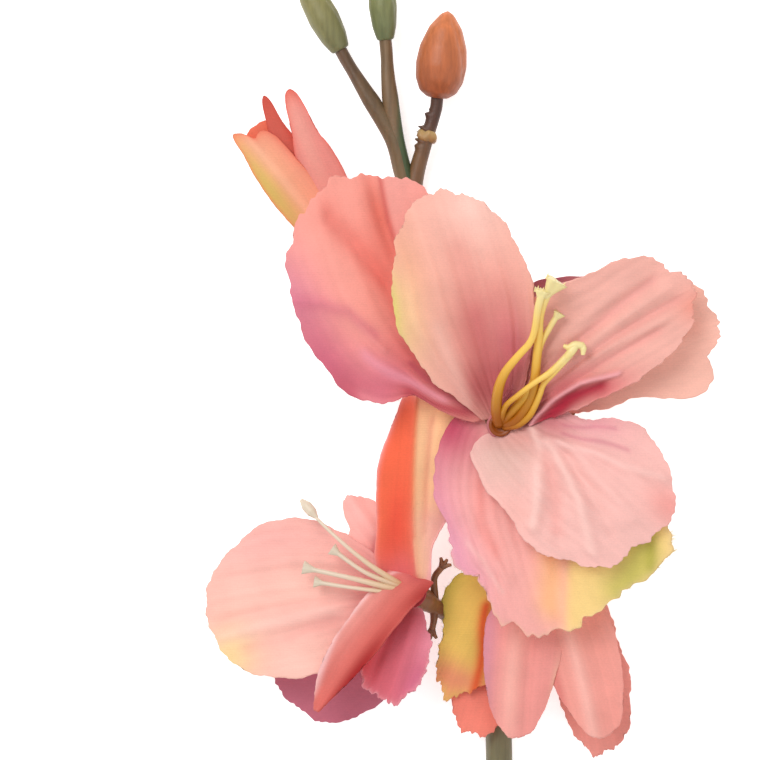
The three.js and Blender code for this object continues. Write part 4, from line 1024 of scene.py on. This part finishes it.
# ==== Left bloom: inner petals ====
# The front blank: a broad pale petal to the left, one rolled lengthwise that stands up behind the main
# bloom, and one rolled over the throat. Shade on the two rolled petals is painted into their dyes.
whorl("left_inner_whorl", "left_inner_petals",
      LEFT_HUB, LEFT_AXIS, WHORL_STEP, SIDE_HEART, [
    {
        "belly": (-29, 1, 0), "tip": (-54, -5.5, -8), "face": (0.2, 0.1, 1), "wide": (20, 20),
        "widest": 0.52, "root": 0.2, "curl": 0.01,
        "lobes": [(14, 18, -1), (52, 20, -1.2), (80, 16, 0.8), (-56, 16, 0.8)],
        "seed": 31, "ground": (250, 198, 184),
        "washes": [
            ((248, 184, 178), 0.6, 0.8, 0.4, 0.4, 0.7),
            ((240, 214, 152), 0.9, -0.6, 0.14, 0.35, 0.85),
            ((236, 140, 140), 0.12, 0.0, 0.18, 1.0, 0.8),
            ((244, 176, 166), 0.35, -0.35, 0.2, 0.2, 0.7),
        ],
        "strokes": [
            ((240, 166, 160), [(0.35, -0.3), (0.6, -0.48), (0.8, -0.55)], 1.6, 0.25),
            ((242, 172, 166), [(0.35, -0.05), (0.65, -0.14), (0.9, -0.1)], 1.6, 0.2),
            ((253, 216, 206), [(0.35, -0.18), (0.6, -0.28), (0.9, -0.32)], 1.6, 0.25),
        ],
        "folds": [
            ([(0.35, -0.3), (0.8, -0.55)], 1.6, -0.8), ([(0.35, -0.18), (0.9, -0.32)], 1.8, 0.8),
            ([(0.35, -0.05), (0.9, -0.15)], 1.6, -0.6), ([(0.3, 0.3), (0.85, 0.4)], 2.0, -0.7),
        ],
        "pleats": [(13, 0.1, 0.2)], "ruffle": (6, 0.8), "ragged": 0.5,
    },
    {
        "belly": (-2.5, 24, 9), "tip": (2, 50.5, 4), "face": (-0.3, 0, 1), "wide": (10, 10), "widest": 0.5,
        "root": 0.5, "curl": -0.03, "start": 0.8,
        "lobes": [(50, 25, 6), (-26, 16, 1.4), (-50, 14, -0.2), (-136, 18, 3.4), (128, 22, -2.6)],
        # Painted light and shade on one face: the orange ground and the redder wash are the side that turns
        # down and away, in shade, and the pale panel is the side that turns up to the light.
        "seed": 33, "ground": (240, 110, 76),
        "panels": [((250, 208, 160), [(0.1, 0.2), (0.95, -0.08)], 0.5, 0.95)],
        "washes": [
            ((228, 78, 62), 0.35, -0.35, 0.2, 0.35, 0.7),
            ((226, 112, 116), 0.1, -0.4, 0.12, 0.9, 0.85),
        ],
        "strokes": [
            ((224, 86, 40), [(0.3, 0.12), (0.57, 0.05), (0.95, -0.1)], 0.5, 0.6),
            ((240, 178, 168), [(0.1, 0.6), (0.35, 0.5)], 3.4, 0.75),
            ((226, 158, 172), [(0.15, 1.0), (0.5, 1.0)], 3.2, 0.85),
            ((238, 162, 140), [(0.4, 0.4), (0.6, 0.34), (0.85, 0.3)], 0.9, 0.4),
        ],
        "creases": [([(0.1, 0.2), (0.57, 0.07), (1.0, -0.1)], 1.6, 2.0)],
        "folds": [([(0.3, 0.4), (0.85, 0.35)], 1.0, -0.5)],
        "rim": ((250, 186, 184), 0.45, 0.8), "roll": (0.5, 0.7), "ragged": 0.25,
    },
    {
        "from": (3.9, 4, 1.2), "belly": (-6, 1, 16), "tip": (-25, -29, 3), "face": (-0.3, 0.3, 1),
        "wide": (4.5, 9), "widest": 0.4, "root": 0.55, "curl": -0.07, "start": 5.4,
        "lobes": [(135, 16, 3.5)], "seed": 35, "ground": (220, 110, 100),
        "washes": [
            # These two deep red washes are painted shade inside the roll.
            ((166, 30, 34), 0.8, -0.75, 0.32, 0.5, 0.95),
            ((176, 54, 50), 0.16, -0.8, 0.22, 0.6, 0.9),
            ((206, 92, 96), 0.05, 0.5, 0.12, 0.7, 0.8),
            ((232, 160, 150), 0.55, 1.0, 0.5, 0.65, 0.95),
        ],
        "strokes": [((250, 206, 204), [(0.0, 0.6), (0.3, 0.96), (0.7, 0.93), (0.98, 0.4)], 1.0, 0.8)],
        "folds": [([(0.2, 0.4), (0.9, 0.3)], 1.4, -0.8)], "roll": (0.8, 0.8), "ragged": 0.3,
    },
], rows=110, columns=72)

# ==== Left bloom: stamens ====
# One moulding as in the main bloom, but of pale cream plastic, with thinner filaments. The longest has an
# oval anther and reaches over the edge of the petal.
CREAMS = [(226, 186, 120), (232, 202, 164), (232, 212, 190), (224, 210, 188)]
stamens("left_stamen_bunch", "left_stamens", LEFT_HUB, LEFT_AXIS, [
    ([(-1.8, 1.4, 1.8), (-6, 4.2, 5.5), (-11.5, 7.9, 8), (-17.8, 13, 9), (-24.5, 19.2, 7), (-27.1, 22.1, 5)],
     [0.9, 0.8, 0.65, 0.5, 0.42, 0.35]),
    ([(-1.8, 1.4, 1.8), (-5.5, 3, 5), (-12.8, 6.1, 7), (-20.8, 11.6, 6)], [0.9, 0.7, 0.55, 0.6]),
    ([(-1.9, 1.2, 1.7), (-6, 2, 5), (-16.5, 4.6, 6), (-27.9, 7, 4)], [0.9, 0.8, 0.6, 0.6]),
    ([(-1.9, 1.1, 1.6), (-5.5, 1, 4.5), (-15.3, 2, 5), (-25.1, 3.4, 3)], [0.9, 0.6, 0.5, 0.6]),
    ([(-24.8, 19.6, 6.6), (-26.2, 21.2, 5.7), (-27.6, 22.8, 4.9), (-28.8, 24.1, 4.3)], [0.4, 1.35, 1.4, 0.5]),
], CREAMS, {}, {1: (2.6, 1.3, 2), 2: (3.2, 1.4, 2), 3: (2.4, 1.2, 2)}, over=(0, 0, 1))

# ==== Lower right bloom: calyx ====
# The same moulded cup with two claws, pushed on the peg of the lower right branch. It points down the stem
# under the main bloom, whose petals hide it.
calyx("lower_right_calyx_cup", "lower_right_calyx", RIGHT_HUB, RIGHT_AXIS, RIGHT_LENGTH, [
    [(-3.4, 4.9, -4.6), (-7.5, 4.5, -3.5), (-10.5, 2.5, -2.5)],
    [(-3.4, 4.9, -4.6), (0.5, 8.5, -3), (4.5, 9.5, -1.5)],
])

# ==== Lower right bloom: outer petals ====
# The back blank of the bloom that hangs down the stem, cut and threaded on its pin as the main one's. It is
# coral with a paler right side.
whorl("lower_right_outer_whorl", "lower_right_outer_petals",
      RIGHT_HUB, RIGHT_AXIS, 0, SIDE_HEART, [
    {
        "from": (-2.5, -1, -1.5), "belly": (-13, -22, -1), "tip": (-18, -44, -4), "wide": (11, 8.5),
        "widest": 0.6, "root": 0.25, "curl": -0.02, "seed": 41, "ground": (244, 140, 122),
    },
    {
        "from": (0.8, -1, -3), "belly": (12, -25, -6), "tip": (16, -50, -13.4), "wide": (11, 8),
        "widest": 0.6, "root": 0.25, "curl": -0.01, "seed": 43, "ground": (242, 160, 148),
    },
    {
        "from": (3, 0, -0.8), "belly": (12.5, -14, -3), "tip": (15.5, -36, -6), "wide": (7.5, 8),
        "widest": 0.55, "root": 0.25, "curl": -0.02, "seed": 45, "ground": (242, 168, 156),
    },
], rows=84, columns=60)

# ==== Lower right bloom: inner petals ====
# The front blank, on the pin above the back one: a yellow petal with green edges to the left, and two long
# pink ones side by side.
whorl("lower_right_inner_whorl", "lower_right_inner_petals",
      RIGHT_HUB, RIGHT_AXIS, WHORL_STEP, SIDE_HEART, [
    {
        "from": (-3, 0, -0.5), "belly": (-16, -11, 6), "tip": (-24, -34, -1), "wide": (11, 7.5),
        "widest": 0.5, "root": 0.25, "curl": -0.02, "lobes": [(100, 22, 5.2)],
        "seed": 51, "ground": (234, 198, 104),
        "washes": [
            ((176, 170, 66), 0.45, 1.2, 0.4, 0.35, 0.9),
            ((238, 148, 118), 0.9, 0.0, 0.1, 1.2, 0.85),
        ],
        "strokes": [
            ((226, 96, 52), [(0.42, 0.2), (0.54, -0.06), (0.66, -0.32), (0.77, -0.46), (0.92, -0.56)],
             1.4, 0.95),
        ],
        "fray": [(110, 40, 160, 1.0)], "fibre": (170, 164, 60), "ruffle": (7, 0.7), "ragged": 1.0,
    },
    {
        "from": (-1.6, 1, 2.5), "belly": (-6, -19, 13), "tip": (-6.5, -44.5, 2), "wide": (10, 10),
        "widest": 0.45, "root": 0.25, "curl": -0.03, "seed": 53, "ground": (242, 160, 152),
        "washes": [
            ((216, 146, 164), 0.6, 0.95, 0.6, 0.3, 0.85),
            ((250, 190, 176), 0.7, 0.2, 0.4, 0.25, 0.7),
            ((246, 216, 176), 0.85, -0.95, 0.2, 0.12, 0.9),
        ],
        "folds": [([(0.4, 0.2), (1.0, 0.25)], 1.8, 0.9), ([(0.4, -0.2), (1.0, -0.2)], 1.6, -0.9)],
        "ragged": 0.3,
    },
    {
        "from": (2.5, 1, 1.6), "belly": (11, -19, 13), "tip": (16.5, -44.5, 2), "wide": (8.5, 11),
        "widest": 0.45, "root": 0.25, "curl": -0.03, "seed": 55, "ground": (244, 166, 154),
        "strokes": [
            # A painted highlight on the ridge of the first fold below.
            ((252, 196, 184), [(0.3, 0.25), (1.0, 0.3)], 1.8, 0.7),
            ((224, 120, 116), [(0.3, 0.8), (1.0, 0.85)], 1.2, 0.6),
        ],
        "folds": [([(0.3, 0.25), (1.0, 0.3)], 1.8, 0.8), ([(0.4, -0.3), (1.0, -0.3)], 2.2, -0.7)],
        "ragged": 0.3,
    },
], rows=90, columns=60)

# ==== Lower right bloom: stamens ====
# One yellow moulding as in the main bloom, with short filaments, pressed into its calyx through the petals.
# The petals of the main bloom hide it.
stamens("lower_right_stamen_bunch", "lower_right_stamens", RIGHT_HUB, RIGHT_AXIS, [
    ([(0.9, -3.1, 2.4), (2.6, -6.5, 3.4), (4, -14.4, 4), (5.6, -26, 1.5)], [0.9, 0.7, 0.6, 0.9]),
    ([(0.5, -3.1, 2.4), (1.2, -6.5, 3), (0.8, -13.2, 3), (-0.4, -21, 0.5)], [0.9, 0.7, 0.6, 0.8]),
    ([(1.2, -3.1, 2.3), (4, -6.5, 3), (8.3, -13.2, 3), (11.8, -21, 0.5)], [0.9, 0.7, 0.6, 0.8]),
], YELLOWS[:2] + YELLOWS[3:], {0: [(-0.6, 1.2), (0.6, 1.0)]}, {0: (2, 1.4, 3)}, over=(0, 0, 1))

# ==== Half-open bud: calyx ====
# A plain moulded cup without claws, pushed on the peg of the left branch. The plug of the bud's petals is
# pushed into it.
calyx("half_open_bud_cup", "half_open_bud_calyx", BUD_HUB, BUD_AXIS, BUD_LENGTH, [])

# ==== Half-open bud: petals ====
# Four petals of the same cloth, each rolled lengthwise and pressed so, and glued in a tight bundle on a plug
# that the cup hides.
BUD_HEART = (230, 130, 120)
whorl("half_open_bud_whorl", "half_open_bud_petals", BUD_HUB, BUD_AXIS, 0, BUD_HEART, [
    {
        "belly": (-7.5, 22, 6), "tip": (-15, 40.5, 2), "wide": (6, 5.2), "widest": 0.4, "root": 0.5,
        "lobes": [(0, 16, 0.4), (50, 22, -1.8), (-45, 22, -1.4)], "curl": -0.09, "seed": 61,
        "ground": (232, 148, 138), "ruffle": (4, 0.2), "ragged": 0.1,
        "washes": [((226, 92, 72), 1.04, 0.0, 0.1, 0.4, 0.8), ((234, 166, 152), 0.7, -0.2, 0.5, 0.4, 0.7)],
        "rim": ((226, 94, 76), 0.5, 0.7), "folds": [([(0.3, 0.1), (1.0, 0.0)], 1.2, 0.5)],
    },
    {
        "belly": (-15.5, 22, 3), "tip": (-21, 38, 1), "wide": (3.8, 4.4), "widest": 0.4, "root": 0.5,
        "lobes": [(0, 16, 1.2), (40, 20, -1), (-40, 20, -1)], "curl": -0.08, "seed": 63,
        "ground": (206, 98, 84), "ruffle": (4, 0.2), "ragged": 0.1, "rim": ((204, 76, 62), 0.6, 0.6),
    },
    {
        "belly": (-15.5, 16.5, 8), "tip": (-26.8, 30.2, 2), "wide": (5.5, 7), "widest": 0.45, "root": 0.5,
        "lobes": [(-22, 12, 1.6), (45, 16, 1), (12, 14, -1.8)], "curl": -0.08, "seed": 65,
        "ground": (246, 170, 140), "ruffle": (4, 0.2), "ragged": 0.15,
        "washes": [((214, 190, 100), 0.6, -0.8, 0.5, 0.7, 0.9), ((240, 130, 110), 0.9, 0.9, 0.3, 0.3, 0.8)],
        "strokes": [((250, 196, 168), [(0.3, 0.1), (0.95, 0.0)], 1.4, 0.4)],
        "rim": ((232, 110, 84), 0.5, 0.7), "folds": [([(0.3, 0.1), (0.95, 0.0)], 1.1, 0.6)],
    },
    {
        "belly": (-15, 18, 1), "tip": (-24.6, 33.2, 0), "wide": (5, 6), "widest": 0.45, "root": 0.5,
        "lobes": [(-48, 16, 1.6), (44, 16, 1.4), (0, 18, -1)], "curl": -0.08, "seed": 67,
        "ground": (234, 122, 96), "ruffle": (4, 0.2), "ragged": 0.1,
    },
], rows=70, columns=36)

# ==== Closed buds at the tip ====
# Two slim green buds and one round amber one, each moulded in one piece and pushed on the end of its branch.
# Shallow seams wind up them.
bud_plastic = moulded_plastic("bud_plastic", roughness=0.45)
CLOSED = [[0, 0], [2.4, 0], [3.4, 3.5], [4, 9], [3.6, 15], [2.2, 21], [0.8, 25], [0, 25.6]]
ROUND = [[0, 0], [2.6, 0], [4.8, 1.5], [6.1, 4.5], [6.5, 8.5], [6, 13], [4.2, 18], [1.6, 21.5], [0, 22.3]]


def folded(turn, h):
    """Two shallow seams that wind up the bud, where one sepal lies over the next."""
    seam = np.abs(np.sin(turn + 0.05 * h))
    return 1 - 0.09 * np.exp(-((seam / 0.12) ** 2))


for name, slot, tip, profile, stretch, low_dye, high_dye in (
    ("left_top_bud", "green_plastic", LEFT_TIP, CLOSED, (1, 1), (104, 104, 66), (150, 140, 84)),
    ("middle_top_bud", "green_plastic", MIDDLE_TIP, CLOSED, (0.9, 0.95), (96, 104, 66), (142, 140, 84)),
    ("right_top_bud", "amber_plastic", RIGHT_TIP, ROUND, (1, 1), (146, 74, 36), (206, 116, 66)),
):
    shell = lathe(rounded(profile, 0.4) * stretch, *tip, wobble=folded)
    build(name + "_body", [shell], bud_plastic, name, [blend_dye(shell[2], low_dye, high_dye)])

# ==== Sword leaves ====
# Three long moulded leaves that clasp the stem at their feet, lift off it and bend down towards the table,
# the two longer ones to about 1 mm over it. They are thin green plastic with raised parallel veins and a
# stiffer middle.
LEAF_SKIN = 0.5
CLASP_ROOM = 1.1  # from the round of the stem to the middle of the leaf that clasps it
CLASP_RADIUS = STEM_RADIUS + CLASP_ROOM
CLASP_TOP = STEM_HEIGHT + CLASP_RADIUS
CLASP_HALF_TURN = np.radians(105)
CLASP_SHARE, WIDEST_AT = 0.1, 0.45  # how far along a leaf it starts to open out, and is widest
LEAF_CURLS = [1 / CLASP_RADIUS, 1 / CLASP_RADIUS, 0.11, 0.05, 0.03, 0.02, 0.015, 0.01, 0.005]
VEINS, VEIN_HEIGHT = 13, 0.1
RIB_WIDTH, RIB_HEIGHT = 0.06, 0.25
LEAF_TIP_HALF = 0.5
leaf_plastic = moulded_plastic("leaf_plastic", roughness=0.5)


def leaf(name, wide, points):
    """The clasping part is an arc of the clasp's radius. Beyond it the blade opens out to wide, its half
    width, and ends as cos(turn) ** 0.85, and its arc flattens. Across it, v goes from -1 to 1: the veins are
    a cosine of v, and the stiff middle rib is exp(-(v / RIB_WIDTH) ** 2)."""
    route = np.asarray(points, float) + (0, 0, CLASP_TOP)
    line = curve_through(route, 220)
    along = unit(np.gradient(line, axis=0))[:, None]
    s = np.linspace(0, 1, len(line))[:, None]
    v = np.linspace(-1, 1, 49)[None, :]
    ease = np.clip((s - CLASP_SHARE) / (WIDEST_AT - CLASP_SHARE), 0, 1)
    opened = ease * ease * (3 - 2 * ease)
    taper = np.clip((s - WIDEST_AT) / (1 - WIDEST_AT), 0, 1)
    base = CLASP_RADIUS * CLASP_HALF_TURN
    pointed = np.maximum(np.cos(taper * np.pi / 2), 0) ** 0.85
    half = (base + (wide - base) * opened) * pointed + LEAF_TIP_HALF
    x, k = v * half, spread(LEAF_CURLS, s)
    across = unit(np.cross(along, (0, 0, 1)))
    normal = np.cross(across, along)
    rib = np.exp(-((v / RIB_WIDTH) ** 2))
    veins = VEIN_HEIGHT * np.cos(v * VEINS * np.pi) * opened + RIB_HEIGHT * rib * opened
    rise = (np.cos(k * x) - 1) / k + veins * (1 - taper)
    middle = line[:, None] + across * (np.sin(k * x) / k)[..., None] + normal * rise[..., None]
    shell = (*sheet_shell(middle, LEAF_SKIN), None)
    dye = blend_dye(np.repeat(s[:, 0], v.size) * 1.2, (104, 116, 70), (78, 98, 56))
    build(name + "_blade", [shell], leaf_plastic, name, [np.vstack([dye, dye])])


leaf("lower_leaf", 11, [
    (0, 40, 0), (0, 60, 0), (0, 80, 0.6), (-3, 114, 4.5),
    (-12, 152, 7.5), (-24, 212, 4), (-36, 270, -3.5), (-42, 318, -7),
])
leaf("middle_leaf", 11, [
    (0, 128, 0), (0, 146, 0), (0, 164, 0.6), (3, 198, 4.5),
    (12, 236, 7.5), (24, 288, 4), (36, 340, -2.5), (42, 384, -7),
])
leaf("upper_leaf", 8.5, [
    (0, 214, 0), (0, 227, 0), (0, 240, 0.6), (-2.5, 264, 4.5),
    (-10, 292, 7.5), (-20, 336, 5.5), (-27, 382, 0),
])
